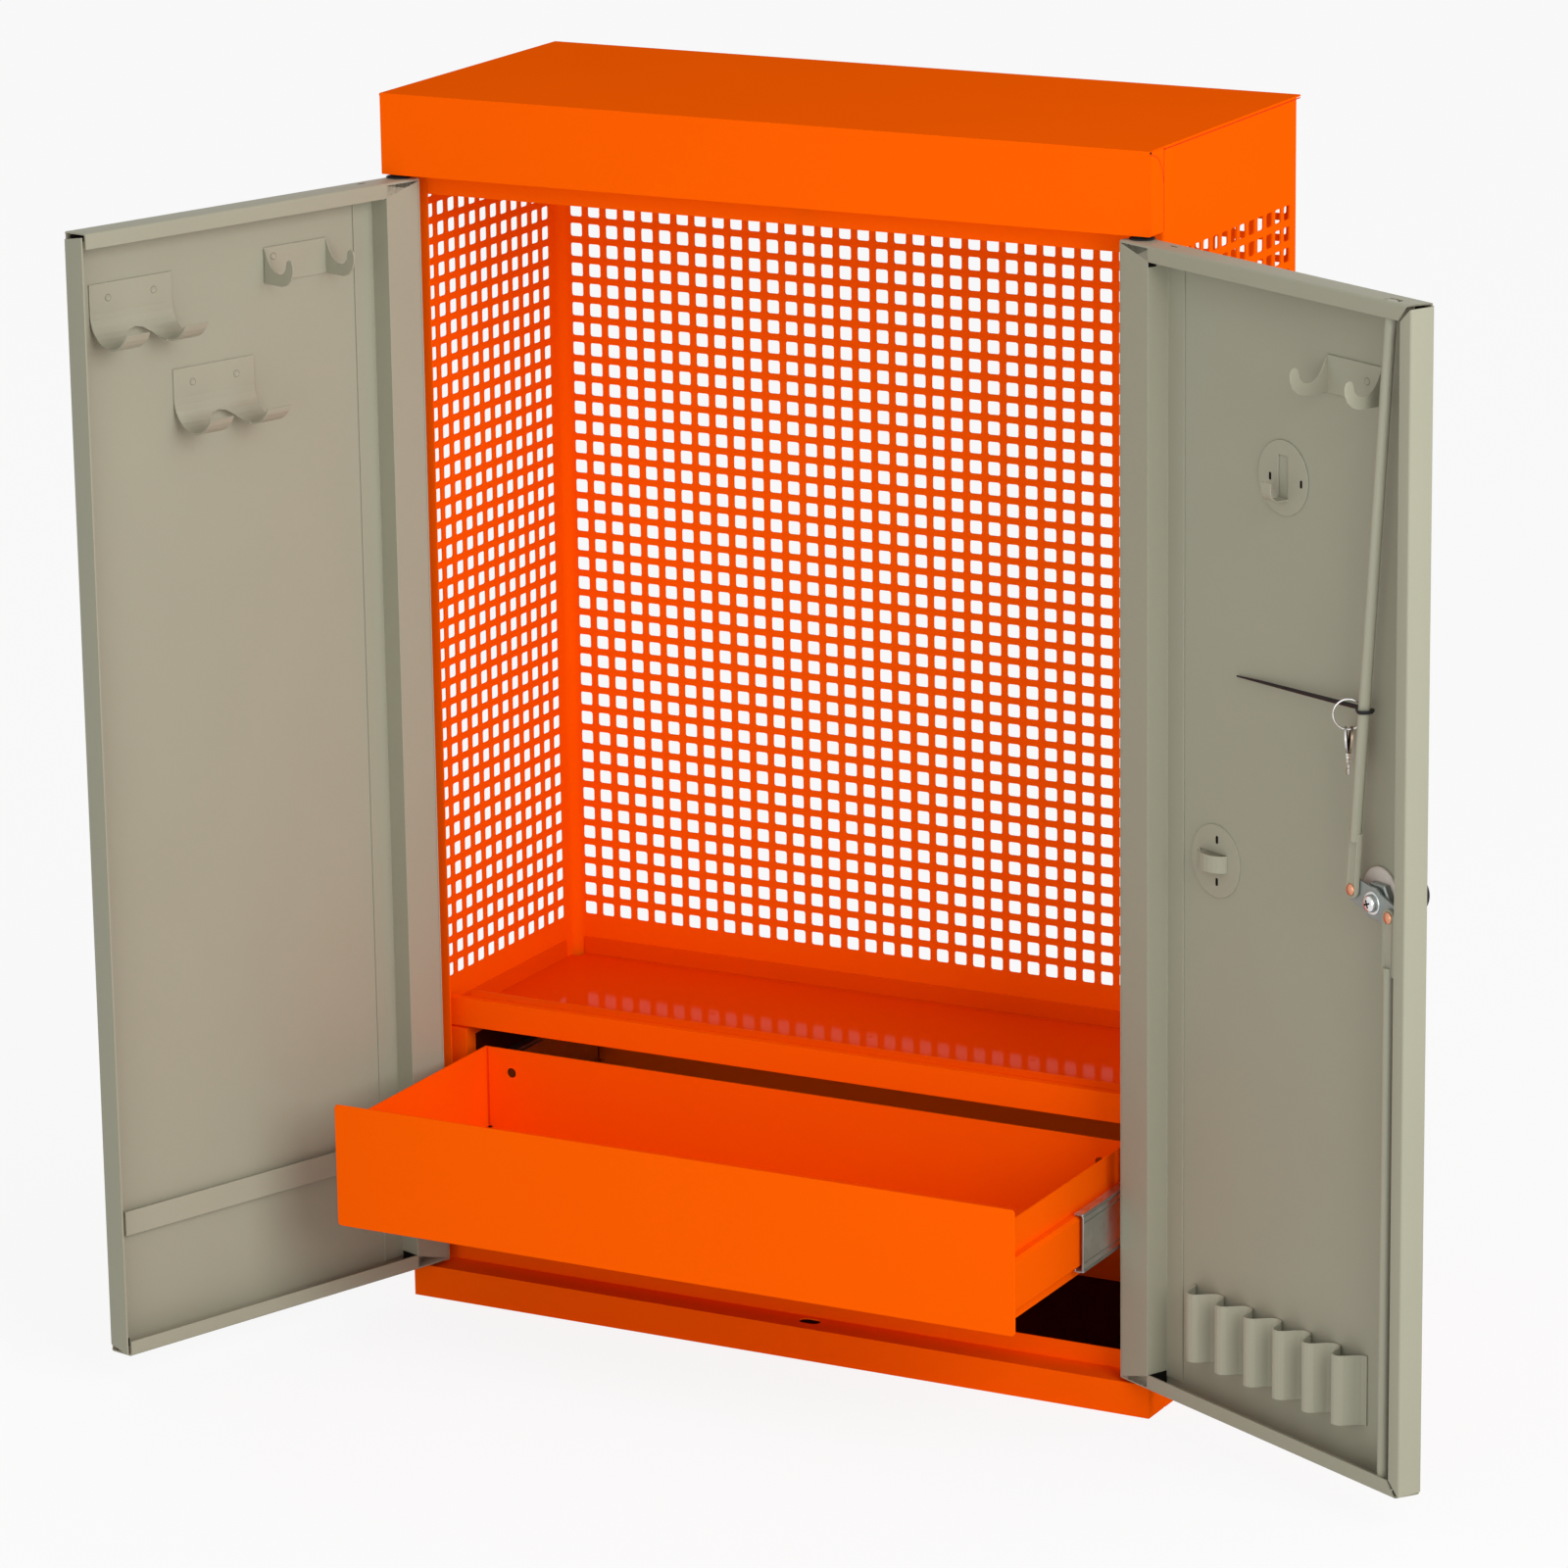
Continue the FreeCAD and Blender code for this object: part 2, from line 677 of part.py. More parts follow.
class Door:
    """One door's frame: s runs from the pin to the free edge, whichever side that is."""

    def __init__(self, name, side, angle):
        self.name, self.side, self.angle = name, side, angle

    def piece(self, label):
        """A body whose frame has the pin as its Z axis and turns with the door."""
        body = new_body(label)
        place(body, -self.side * pin_x, pin_y)
        body.Placement.Rotation = FreeCAD.Rotation(Vector(0, 0, 1), 1)
        bind(body, "Placement.Rotation.Angle", -self.side * self.angle)
        return body

    def s(self, size):
        return self.side * Size.of(size)

    def span(self, low, high):
        return (self.s(low), self.s(high))

    def plan(self, outline):
        return [(self.s(s), c) for s, c in outline]

    def across(self, body, low, high, outline):
        """Pads a section seen along s, from low to high."""
        start = low if self.side > 0 else high
        return pad(body, draw(body, "YZ", self.s(start), outline), high - low)


left = Door("left", 1, S.left_open)
right = Door("right", -1, S.right_open)

for door in (left, right):
    # Pan: block, hollow, then the mouth between the lips
    pan = door.piece(f"door_{door.name}_pan")
    box_pad(pan, "XZ", skin_out, S.door_thick, door.span(hinge_edge, free_edge),
            (door_low, door_high))
    box_cut(pan, "XZ", skin_in, lip_in - skin_in,
            door.span(hinge_edge + S.gauge, free_edge - S.gauge),
            (door_low + S.gauge, door_high - S.gauge))
    mouth_free = free_edge - S.door_lip
    mouth_low, mouth_high = door_low + S.door_lip, door_high - S.door_lip
    wall_low, wall_high = door_low + S.gauge, door_high - S.gauge
    mouth = [
        (hinge_edge + S.gauge, wall_low), (S.stile_lip + S.door_lip_gap, wall_low),
        (S.stile_lip + S.door_lip_gap, mouth_low), (mouth_free - S.door_lip_gap, mouth_low),
        (mouth_free - S.door_lip_gap, wall_low), (mouth_free, wall_low),
        (mouth_free, wall_high), (mouth_free - S.door_lip_gap, wall_high),
        (mouth_free - S.door_lip_gap, mouth_high),
        (S.stile_lip + S.door_lip_gap, mouth_high), (S.stile_lip + S.door_lip_gap, wall_high),
        (hinge_edge + S.gauge, wall_high),
    ]
    cut(pan, draw(pan, "XZ", lip_in, door.plan(mouth)), S.gauge)
    for at in (door_low, door_high - S.gauge):
        cut(pan, draw(pan, "XY", at, Disc(ZERO, ZERO, S.liner_radius)), S.gauge)

    # Stile: lip, web and foot folded along the hinge side
    stile = door.piece(f"door_{door.name}_stile")
    lip_end = S.stile_lip
    pad(stile, draw(stile, "XY", wall_low, door.plan([
        (hinge_edge + S.gauge, lip_out), (lip_end, lip_out), (lip_end, skin_in + S.gauge),
        (lip_end + S.stile_foot, skin_in + S.gauge), (lip_end + S.stile_foot, skin_in),
        (lip_end - S.gauge, skin_in), (lip_end - S.gauge, lip_in),
        (hinge_edge + S.gauge, lip_in),
    ])), wall_high - wall_low)
    for low, high in ((wall_low, wall_low + S.stile_end_gap),
                      (wall_high - S.stile_end_gap, wall_high)):
        box_cut(stile, "XY", low, high - low,
                door.span(lip_end - S.gauge, lip_end + S.stile_foot), (skin_in, lip_in))

    # Bushes: a liner in each of the door's end flanges under a waisted collar
    bore = S.pin_radius + S.pin_play
    bush = door.piece(f"hinge_bushes_{door.name}")
    for flange, sense, gap in ((door_high, 1, S.door_top_gap),
                               (door_low, -1, S.door_bottom_gap)):
        stop = flange + sense * (gap - S.liner_gap)
        disc = flange + sense * S.liner_flange
        waist = (disc + stop) / 2
        revolve(bush, [
            (bore, flange - sense * S.liner_depth),
            (S.liner_radius, flange - sense * S.liner_depth),
            (S.liner_radius, flange), (S.liner_flange_radius, flange),
            (S.liner_flange_radius, disc), (S.liner_waist_radius, waist),
            (S.liner_top_radius, stop), (bore, stop),
        ])


# Left door: cradle holders, two-hook bracket and holder bar
def cradle(label, middle, high):
    """A plate whose foot rolls outwards and parts into two upturned prongs."""
    body = left.piece(label)
    radius, inside = S.cradle_radius, S.cradle_radius - S.gauge
    turn_c, turn_z = skin_in + radius, high - S.cradle_plate
    outline = [(skin_in, high), (skin_in, turn_z)]
    outline += arc(turn_c, turn_z, radius, radius, 180, 335, 12)[1:]
    outline += arc(turn_c, turn_z, inside, inside, 335, 180, 12)
    outline += [(skin_in + S.gauge, high)]
    low_s, high_s = middle - S.cradle_width / 2, middle + S.cradle_width / 2
    left.across(body, low_s, high_s, outline)
    depth = high - S.cradle_notch_down
    half_notch = S.cradle_notch / 2
    floor = turn_z - 2 * radius
    notch = arc(middle, depth - half_notch, half_notch, half_notch, 0, 180, 8)
    cut(body, draw(body, "XZ", skin_in, [(middle + half_notch, floor)] + notch
                   + [(middle - half_notch, floor)]), 3 * radius)
    box_cut(body, "XZ", turn_c, 3 * radius, (middle - half_notch, middle + half_notch),
            (floor, high))
    return body


cradle("cradle_high", free_edge - S.cradle_high_inset, door_high - S.cradle_high_drop)
cradle("cradle_low", free_edge - S.cradle_low_inset, door_high - S.cradle_low_drop)


def hook_bracket(door, label, middle, high):
    """A flat plate with a J hook turned out at each end."""
    body = door.piece(label)
    low = high - S.bracket_high
    low_s, high_s = middle - S.bracket_width / 2, middle + S.bracket_width / 2
    box_pad(body, "XZ", skin_in, S.gauge, door.span(low_s, high_s), (low, high))
    tip = skin_in + S.bracket_hook_out
    wide, radius = S.bracket_hook_wide, S.bracket_hook_radius
    turn_c, turn_z = tip - radius, low + radius
    inside = radius - wide
    outline = [(skin_in + S.gauge, low + wide), (skin_in + S.gauge, low)]
    outline += arc(turn_c, turn_z, radius, radius, 270, 360, 6)
    outline += [(tip, high - wide / 2), (tip - wide / 2, high), (tip - wide, high - wide / 2)]
    outline += arc(turn_c, turn_z, inside, inside, 360, 270, 6)
    for start in (low_s, high_s - S.gauge):
        door.across(body, start, start + S.gauge, outline)
    return body


hook_bracket(left, "hook_bracket_left", S.bracket_left_s, door_high - S.bracket_left_drop)
hook_bracket(right, "hook_bracket_right", free_edge - S.bracket_right_inset,
             door_high - S.bracket_right_drop)

bar = left.piece("holder_bar")
bar_face = skin_in + S.bar_out
bar_far = free_edge - S.bar_far_inset
pad(bar, draw(bar, "XY", S.bar_low, left.plan([
    (S.bar_near, skin_in), (S.bar_near, bar_face), (bar_far, bar_face),
    (bar_far, skin_in), (bar_far - S.gauge, skin_in),
    (bar_far - S.gauge, bar_face - S.gauge), (S.bar_near + S.gauge, bar_face - S.gauge),
    (S.bar_near + S.gauge, skin_in),
])), S.bar_high - S.bar_low)

# Right door: round plate with a punched hook
hook_plate = right.piece("round_hook_plate")
round_hook_z = door_high - S.round_hook_drop
pad(hook_plate, draw(hook_plate, "XZ", skin_in, Disc(
    right.s(S.round_hook_s), round_hook_z, S.round_radius)), S.gauge)
half_hook = S.round_hook_width / 2
window_low = round_hook_z - S.round_hook_window / 2
box_cut(hook_plate, "XZ", skin_in, S.gauge,
        right.span(S.round_hook_s - half_hook, S.round_hook_s + half_hook),
        (window_low, round_hook_z + S.round_hook_window / 2))
hook_tip = skin_in + S.round_hook_out
hook_turn = S.round_hook_out / 2
right.across(hook_plate, S.round_hook_s - half_hook, S.round_hook_s + half_hook, [
    (skin_in, window_low), (hook_tip - hook_turn, window_low)]
    + arc(hook_tip - hook_turn, window_low + hook_turn, hook_turn, hook_turn, 270, 360, 6)
    + [(hook_tip, window_low + S.round_hook_up),
       (hook_tip - S.gauge, window_low + S.round_hook_up)]
    + arc(hook_tip - hook_turn, window_low + hook_turn, hook_turn - S.gauge,
          hook_turn - S.gauge, 360, 270, 6)
    + [(skin_in, window_low + S.gauge)])

# Right door: round plate with a strap sprung out of it
strap_plate = right.piece("round_strap_plate")
pad(strap_plate, draw(strap_plate, "XZ", skin_in, Disc(
    right.s(S.round_strap_s), S.round_strap_z, S.round_radius)), S.gauge)
strap_start = S.round_strap_s + S.strap_root
strap_low = S.round_strap_z - S.strap_width / 2
box_cut(strap_plate, "XZ", skin_in, S.gauge,
        right.span(strap_start - S.strap_length, strap_start),
        (strap_low, S.round_strap_z + S.strap_width / 2))
strap_outer = arc(strap_start - S.strap_length / 2, skin_in, S.strap_length / 2,
                  S.strap_out, 0, 150, 10)
strap_inner = arc(strap_start - S.strap_length / 2, skin_in, S.strap_length / 2 - S.gauge,
                  S.strap_out - S.gauge, 150, 0, 10)
pad(strap_plate, draw(strap_plate, "XY", strap_low, right.plan(strap_outer + strap_inner)),
    S.strap_width)

# Right door: the wave holder, one strip bent into a row of pockets
WAVE_SHARES = (0.0, 0.02, 0.1, 0.3, 0.62, 0.88, 0.99, 1.0, 0.96, 0.8, 0.55, 0.3, 0.12, 0.03)
wave = right.piece("wave_holder")
crest = S.wave_out - S.gauge
steps = len(WAVE_SHARES)
inside, outside = [], []
for n in range(steps + 1):
    before, share, after = (WAVE_SHARES[(n + turn) % steps] for turn in (-1, 0, 1))
    s = S.wave_near + S.wave_pitch * (n / steps)
    c = skin_in + crest * share
    # The strip's outer face lies one gauge out, square to the line's slope
    run, rise = 2 * S.wave_pitch.value / steps, crest.value * (after - before)
    length = math.hypot(run, rise)
    inside.append((s, c))
    outside.append((s - S.gauge * (rise / length), c + S.gauge * (run / length)))
loop = pad(wave, draw(wave, "XY", S.wave_low, right.plan(inside + outside[::-1])),
           S.wave_high - S.wave_low)
loops = wave.newObject("PartDesign::LinearPattern", "wave_holder_row")
loops.Originals = [loop]
loops.Direction = (origin_item(wave, "X_Axis"), [""])
loops.Reversed = right.side < 0
loops.Mode = "Spacing"
bind(loops, "Offset", S.wave_pitch)
bind(loops, "Occurrences", whole((free_edge - S.wave_far_inset - S.wave_near) / S.wave_pitch))
wave.Tip = loops

# Lock: collar and nut on the door, spindle with knob and cam, two rods
lock_s = free_edge - S.lock_inset
lock_z = (door_low + door_high) / 2
lock_u = right.s(lock_s)
pan = doc.getObject("door_right_pan")
spindle_hole = S.lock_spindle_radius + S.lock_spindle_play
cut(pan, draw(pan, "XZ", skin_out, Disc(lock_u, lock_z, spindle_hole)), S.gauge)
for at, s in ((door_high - S.gauge, rod_top_s), (door_low, rod_low_s)):
    cut(pan, draw(pan, "XY", at, stadium(
        right.s(s), rod_c, S.rod_slot_length, S.rod_slot_width)), S.gauge)

collar = right.piece("lock_collar")
pad(collar, draw(collar, "XZ", skin_in, Disc(lock_u, lock_z, S.lock_collar_radius),
                 Disc(lock_u, lock_z, spindle_hole)), S.lock_collar)
nut_start = skin_in + S.lock_collar
nut = arc(lock_u, lock_z, S.lock_nut_radius, S.lock_nut_radius, 0, 300, 5)
pad(collar, draw(collar, "XZ", nut_start, nut, Disc(lock_u, lock_z, spindle_hole)),
    S.lock_nut)

knob = right.piece("lock_knob")
knob_face = skin_out - S.knob_out
knob_back = skin_out - S.knob_gap
pad(knob, draw(knob, "XZ", knob_face, Disc(lock_u, lock_z, S.knob_radius)),
    knob_back - knob_face)
pad(knob, draw(knob, "XZ", knob_back, Disc(lock_u, lock_z, S.lock_spindle_radius)),
    skin_in + S.cam_lift - knob_back)

cam = right.piece("lock_cam")
cam_low = skin_in + S.cam_lift
lean_turn = S.lock_angle.value
lean = math.radians(lean_turn)
arm_u, arm_v = S.lock_arm * math.cos(lean), S.lock_arm * math.sin(lean)
pivot_up = (lock_s - arm_u, lock_z + arm_v)
pivot_low = (lock_s + arm_u, lock_z - arm_v)
# One lever: a lobe at each end, and a wider hub between them
lobe, hub = S.cam_lobe_radius, S.cam_hub_radius
lever = arc(right.s(pivot_up[0]), pivot_up[1], lobe, lobe, lean_turn - 90, lean_turn + 90, 8)
lever += arc(lock_u, lock_z, hub, hub, lean_turn + 60, lean_turn + 120, 4)
lever += arc(right.s(pivot_low[0]), pivot_low[1], lobe, lobe,
             lean_turn + 90, lean_turn + 270, 8)
lever += arc(lock_u, lock_z, hub, hub, lean_turn + 240, lean_turn + 300, 4)
pad(cam, draw(cam, "XZ", cam_low, lever), S.cam_thick)
pad(cam, draw(cam, "XZ", cam_low + S.cam_thick, Disc(lock_u, lock_z, S.cam_screw_radius)),
    S.cam_screw)


def rod(label, pivot, end):
    """A round rod whose end by the cam is pressed flat round its rivet."""
    body = right.piece(label)
    (s0, z0), (s1, z1) = pivot, end
    run, rise = s1.value - s0.value, z1.value - z0.value
    length = math.hypot(run, rise)
    along, across = (run / length, rise / length), (-rise / length, run / length)

    def spot(distance, offset):
        return (right.s(s0 + distance * along[0] + offset * across[0]),
                z0 + distance * along[1] + offset * across[1])

    flat_low = rod_c - S.rod_flat / 2
    radius, reach = S.rod_eye_radius, S.rod_flat_length
    base_turn = math.degrees(math.atan2(along[1], -along[0]))
    eye = arc(right.s(s0), z0, radius, radius, base_turn + 90, base_turn + 270, 10)
    ends = [spot(reach, radius), spot(reach, -radius)]
    first = eye[-1]
    near = min(ends, key=lambda p: math.hypot(p[0].value - first[0].value,
                                              p[1].value - first[1].value))
    ends = [near] + [p for p in ends if p is not near]
    pad(body, draw(body, "XZ", flat_low, eye + ends), S.rod_flat)
    turn = body.newObject("PartDesign::Revolution", f"{label}_turn")
    sketch = draw(body, "XZ", rod_c, [
        spot(reach - radius, ZERO), spot(Size.of(length), ZERO),
        spot(Size.of(length), S.rod_radius), spot(reach - radius, S.rod_radius)])
    turn.Profile = sketch
    turn.ReferenceAxis = (sketch, ["Edge1"])
    turn.Angle = 360
    pad(body, draw(body, "XZ", rod_c + S.rod_flat / 2,
                   Disc(right.s(s0), z0, S.rivet_radius)), S.rivet_head)
    return body


rod("lock_rod_upper", pivot_up, (rod_top_s, door_high - S.rod_end_gap))
rod("lock_rod_lower", pivot_low, (rod_low_s, door_low + S.rod_end_gap))

doc.recompute()

# Check every object, then write each piece
faults = [item.Name for item in doc.Objects if {"Invalid", "Error"} & set(item.State)]
for item in doc.Objects:
    if item.TypeId == "PartDesign::Pocket":
        before = item.BaseFeature.Shape.Volume
        if item.Shape.Volume >= before:
            faults.append(f"{item.Name} cuts nothing")
pieces = [item for item in doc.Objects if item.TypeId == "PartDesign::Body"]
for piece in pieces:
    if piece.Shape.isNull() or not piece.Shape.isValid():
        faults.append(f"{piece.Label} has no valid shape")
if faults:
    raise RuntimeError("; ".join(faults))

os.makedirs("parts", exist_ok=True)
for piece in pieces:
    piece.Shape.exportStep(f"parts/{piece.Label}.step")
print(f"{len(pieces)} pieces written")
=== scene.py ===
"""Looks of a wall-hung tool cabinet with a perforated shell, a drawer and two pan doors.

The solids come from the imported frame. This file adds the full perforation, the small fittings,
the finishes and a plain studio stage. Settings and sheets are in metres, in the frame's own
axes. Small fittings are drawn in millimetres.
"""
import json
from math import atan2, cos, pi, radians, sin

import bmesh
import bpy
from bpy.props import FloatProperty, FloatVectorProperty, IntProperty, PointerProperty
from bpy.types import Operator, Panel, PropertyGroup
from mathutils import Matrix, Vector


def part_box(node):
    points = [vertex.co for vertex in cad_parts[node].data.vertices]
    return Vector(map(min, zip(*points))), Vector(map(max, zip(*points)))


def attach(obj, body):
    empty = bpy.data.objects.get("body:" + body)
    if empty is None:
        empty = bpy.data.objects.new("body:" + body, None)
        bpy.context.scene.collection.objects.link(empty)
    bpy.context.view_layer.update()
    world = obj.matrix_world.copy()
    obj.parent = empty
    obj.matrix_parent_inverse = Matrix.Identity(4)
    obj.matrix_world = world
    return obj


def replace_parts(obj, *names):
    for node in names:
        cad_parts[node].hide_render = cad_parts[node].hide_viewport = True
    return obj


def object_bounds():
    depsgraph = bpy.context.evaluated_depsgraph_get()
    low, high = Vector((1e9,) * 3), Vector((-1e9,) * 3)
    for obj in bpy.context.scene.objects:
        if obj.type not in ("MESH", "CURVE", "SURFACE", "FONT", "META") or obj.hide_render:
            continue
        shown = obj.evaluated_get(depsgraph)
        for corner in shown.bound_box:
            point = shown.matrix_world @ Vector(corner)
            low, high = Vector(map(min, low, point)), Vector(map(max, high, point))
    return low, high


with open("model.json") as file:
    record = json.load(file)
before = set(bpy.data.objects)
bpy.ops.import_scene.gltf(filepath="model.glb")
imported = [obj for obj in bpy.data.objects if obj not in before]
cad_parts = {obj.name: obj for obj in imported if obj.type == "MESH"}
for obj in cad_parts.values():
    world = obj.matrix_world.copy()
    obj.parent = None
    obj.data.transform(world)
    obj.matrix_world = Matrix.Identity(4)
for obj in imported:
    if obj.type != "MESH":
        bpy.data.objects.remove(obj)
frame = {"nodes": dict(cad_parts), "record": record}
CAD_LOW, CAD_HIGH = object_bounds()

bl_info = {
    "name": "Tool cabinet looks",
    "version": (1, 0, 0),
    "blender": (4, 5, 0),
    "location": "3D View > Sidebar > Cabinet",
    "description": "Perforation, fittings, finishes and stage of a tool cabinet",
    "category": "Object",
}

MM = 0.001
GAUGE = 1.2 * MM
WHITE = (1.0, 1.0, 1.0, 1.0)

# The doors' sheet: inner radius of a fold, room that a fold takes up, and width of a lip
BEND = 0.6 * MM
FOLD = BEND + GAUGE
LIP = 11.0 * MM

# Heights of the door pans' lower and upper end, and spots along and up the right door, in mm:
# the lock's spindle, and each rod's pivot on the cam and its far end
FOOT, HEAD = 27.0, 839.0
SPINDLE = (250.0, 433.0)
RODS = {"upper": ((231.1, 438.5), (265.6, 838.8)), "lower": ((268.9, 427.5), (268.0, 27.5))}

# The closed bay below the tray lies behind this front and under this top. Painted shade darkens
# the orange there
BAY_FRONT, BAY_TOP = -0.068, 0.19


# Sizes and colours that a user would change

def number(name, value, description, **kind):
    return FloatProperty(name=name, description=description, default=value, **kind)


def length(name, millimetres, description):
    return number(name, millimetres * MM, description, unit="LENGTH", precision=4)


def colour(name, rgb, description):
    return FloatVectorProperty(name=name, description=description, default=rgb, size=3,
                               subtype="COLOR", min=0.0, max=1.0)


def share(name, value, description):
    return number(name, value, description, min=0.0, max=1.0, subtype="FACTOR")


def angle(name, degrees, description):
    return number(name, radians(degrees), description, subtype="ANGLE")


def count(name, value, description):
    return IntProperty(name=name, description=description, default=value, min=1)


class CabinetPaint(PropertyGroup):
    """Colours and gloss of the cabinet's finishes."""
    shell: colour("Shell", (0.99, 0.114, 0.0006), "Powder coat of the shell and drawer")
    tray: colour("Tray", (0.82, 0.076, 0.0004), "Glossy coat of the tray")
    door: colour("Doors", (0.352, 0.345, 0.260), "Powder coat of the doors and holders")
    zinc: colour("Zinc", (0.62, 0.64, 0.66), "Galvanised slides and lock parts")
    copper: colour("Rivets", (0.72, 0.34, 0.20), "Rivets of the lock")
    black: colour("Bushes", (0.012, 0.012, 0.013), "Moulded bushes, knob and tie")
    # Painted shade: the dark seen through slits, holes and open corners, drawn on plates
    gap: colour("Gaps", (0.004, 0.003, 0.0025), "What shows through slits and open corners")
    # Painted shadow: dark lines that stand in for the shade in the shell's joints and folds
    crease: colour("Creases", (0.52, 0.026, 0.0004), "Shadow line of the shell's joints and folds")
    # Painted shadow: a dark ring that stands in for the shade round each rivet head
    door_crease: colour("Door creases", (0.15, 0.14, 0.105), "Shadow line round the rivets")
    shell_roughness: share("Shell roughness", 0.42, "Roughness of the shell's coat")
    tray_roughness: share("Tray roughness", 0.09, "Roughness of the tray's glossy coat")
    door_roughness: share("Door roughness", 0.48, "Roughness of the doors' coat")
    grain: length("Grain", 0.9, "Width of the coat's fine ripples")


class CabinetPerforation(PropertyGroup):
    """The shell's field of square holes."""
    pitch: length("Pitch", 15.0, "Distance from hole to hole")
    side: length("Hole side", 10.0, "Width and height of a hole")
    corner: length("Hole corner", 1.6, "Radius of a hole's corners")
    rows: count("Rows", 40, "Rows of holes")
    low: length("Lowest row", 235.0, "Height of the lowest row's middle")
    side_start: length("Side field", 15.0, "From the shell's front to the first side cell")
    side_columns: count("Side columns", 13, "Columns on a side")
    back_columns: count("Back columns", 39, "Columns on the back")


class CabinetDoors(PropertyGroup):
    """How the doors stand, and the small fittings on them."""
    left_open: angle("Left door", 109.6, "How far the left door stands open")
    right_open: angle("Right door", 153.6, "How far the right door stands open")
    skin: length("Skin", -5.8, "Skin's inner face, outwards from the pin's plane")
    plate: length("Plates", -4.6, "Face of the plates welded to the skin")
    lip: length("Lips", 13.0, "Outer face of the folded lips")
    edge: length("Free edge", 290.5, "Free edge, from the pin")
    ring_radius: length("Key ring", 10.3, "Middle radius of the key ring")
    key_length: length("Key", 33.0, "Whole length of a key")


class CabinetStage(PropertyGroup):
    """Camera, lamps, room and floor."""
    azimuth: angle("Azimuth", 28.13, "Camera's turn to the right of the front")
    elevation: angle("Elevation", 15.32, "Camera's height over the aim")
    roll: angle("Roll", -0.82, "Camera's turn about its own axis")
    distance: length("Distance", 4600.0, "Camera to aim")
    aim: FloatVectorProperty(name="Aim", description="Point in the picture's middle",
                             default=(0.0979, -0.2771, 0.4769), size=3, subtype="XYZ")
    lens: number("Lens", 155.7, "Focal length in millimetres", min=1.0)
    key: number("Key light", 68.0, "Power of the lamp at the right in watts", min=0.0)
    fill: number("Fill light", 0.56, "Strength of the room's light", min=0.0)
    glow: share("Floor glow", 0.88, "Share of plain white in the floor as it is seen")


class CabinetSettings(PropertyGroup):
    """All of the cabinet's settings."""
    paint: PointerProperty(type=CabinetPaint)
    perforation: PointerProperty(type=CabinetPerforation)
    doors: PointerProperty(type=CabinetDoors)
    stage: PointerProperty(type=CabinetStage)


def settings():
    return bpy.context.scene.cabinet


# Shader maths as expressions

def maths(operation, reflected=False):
    """An operator on sockets and numbers that adds a Math node."""
    def operate(self, other):
        first, second = (other, self) if reflected else (self, other)
        return self.nodes.node("ShaderNodeMath", {"operation": operation}, {0: first, 1: second})
    return operate


class Socket:
    """A node's output, with arithmetic that adds Math nodes."""

    def __init__(self, nodes, output):
        self.nodes = nodes
        self.output = output

    __add__ = __radd__ = maths("ADD")
    __sub__ = maths("SUBTRACT")
    __rsub__ = maths("SUBTRACT", reflected=True)
    __mul__ = __rmul__ = maths("MULTIPLY")
    __gt__ = maths("GREATER_THAN")
    __lt__ = maths("LESS_THAN")
    maximum = maths("MAXIMUM")


class Nodes:
    """A node tree in the making."""

    def __init__(self, tree):
        self.tree = tree
        tree.nodes.clear()

    def node(self, kind, choices, links, output=0):
        """Adds a node: its choices first, then the values or sockets that it takes."""
        made = self.tree.nodes.new(kind)
        for key, value in choices.items():
            setattr(made, key, value)
        for key, value in links.items():
            if isinstance(value, Socket):
                self.tree.links.new(value.output, made.inputs[key])
            else:
                made.inputs[key].default_value = value
        return Socket(self, made.outputs[output] if made.outputs else None)

    def seen(self):
        """One where a ray comes from the camera, a mirror or glass."""
        camera, glossy, through = (self.node("ShaderNodeLightPath", {}, {}, kind) for kind in
                                   ("Is Camera Ray", "Is Glossy Ray", "Is Transmission Ray"))
        return camera.maximum(glossy + through)


class Shader(Nodes):
    """A material made from nodes."""

    def __init__(self, name):
        self.material = bpy.data.materials.new(f"cabinet_{name}")
        self.material.use_nodes = True
        super().__init__(self.material.node_tree)

    def place(self):
        return self.node("ShaderNodeTexCoord", {}, {}, "Object")

    def along(self, axis):
        """One coordinate of the surface, in metres: X, Y or Z."""
        return self.node("ShaderNodeSeparateXYZ", {}, {"Vector": self.place()}, axis)

    def noise(self, scale, detail=2.0, roughness=0.5):
        links = {"Vector": self.place(), "Scale": scale, "Detail": detail, "Roughness": roughness}
        return self.node("ShaderNodeTexNoise", {}, links, "Fac")

    def blend(self, first, second, factor):
        """A colour between two others."""
        tones = [part if isinstance(part, Socket) else (*part, 1.0) for part in (first, second)]
        return self.node("ShaderNodeMix", {"data_type": "RGBA"},
                         {0: factor, 6: tones[0], 7: tones[1]}, 2)

    def bump(self, height, depth):
        return self.node("ShaderNodeBump", {}, {"Height": height, "Distance": depth}, "Normal")

    def finish(self, **sockets):
        """The surface itself. A socket's name is written with underscores."""
        links = {key.replace("_", " ").title().replace("Ior", "IOR"): value
                 for key, value in sockets.items()}
        surface = self.node("ShaderNodeBsdfPrincipled", {}, links)
        self.node("ShaderNodeOutputMaterial", {}, {"Surface": surface})


def tone(rgb, factor):
    return tuple(min(1.0, part * factor) for part in rgb)


# Finishes

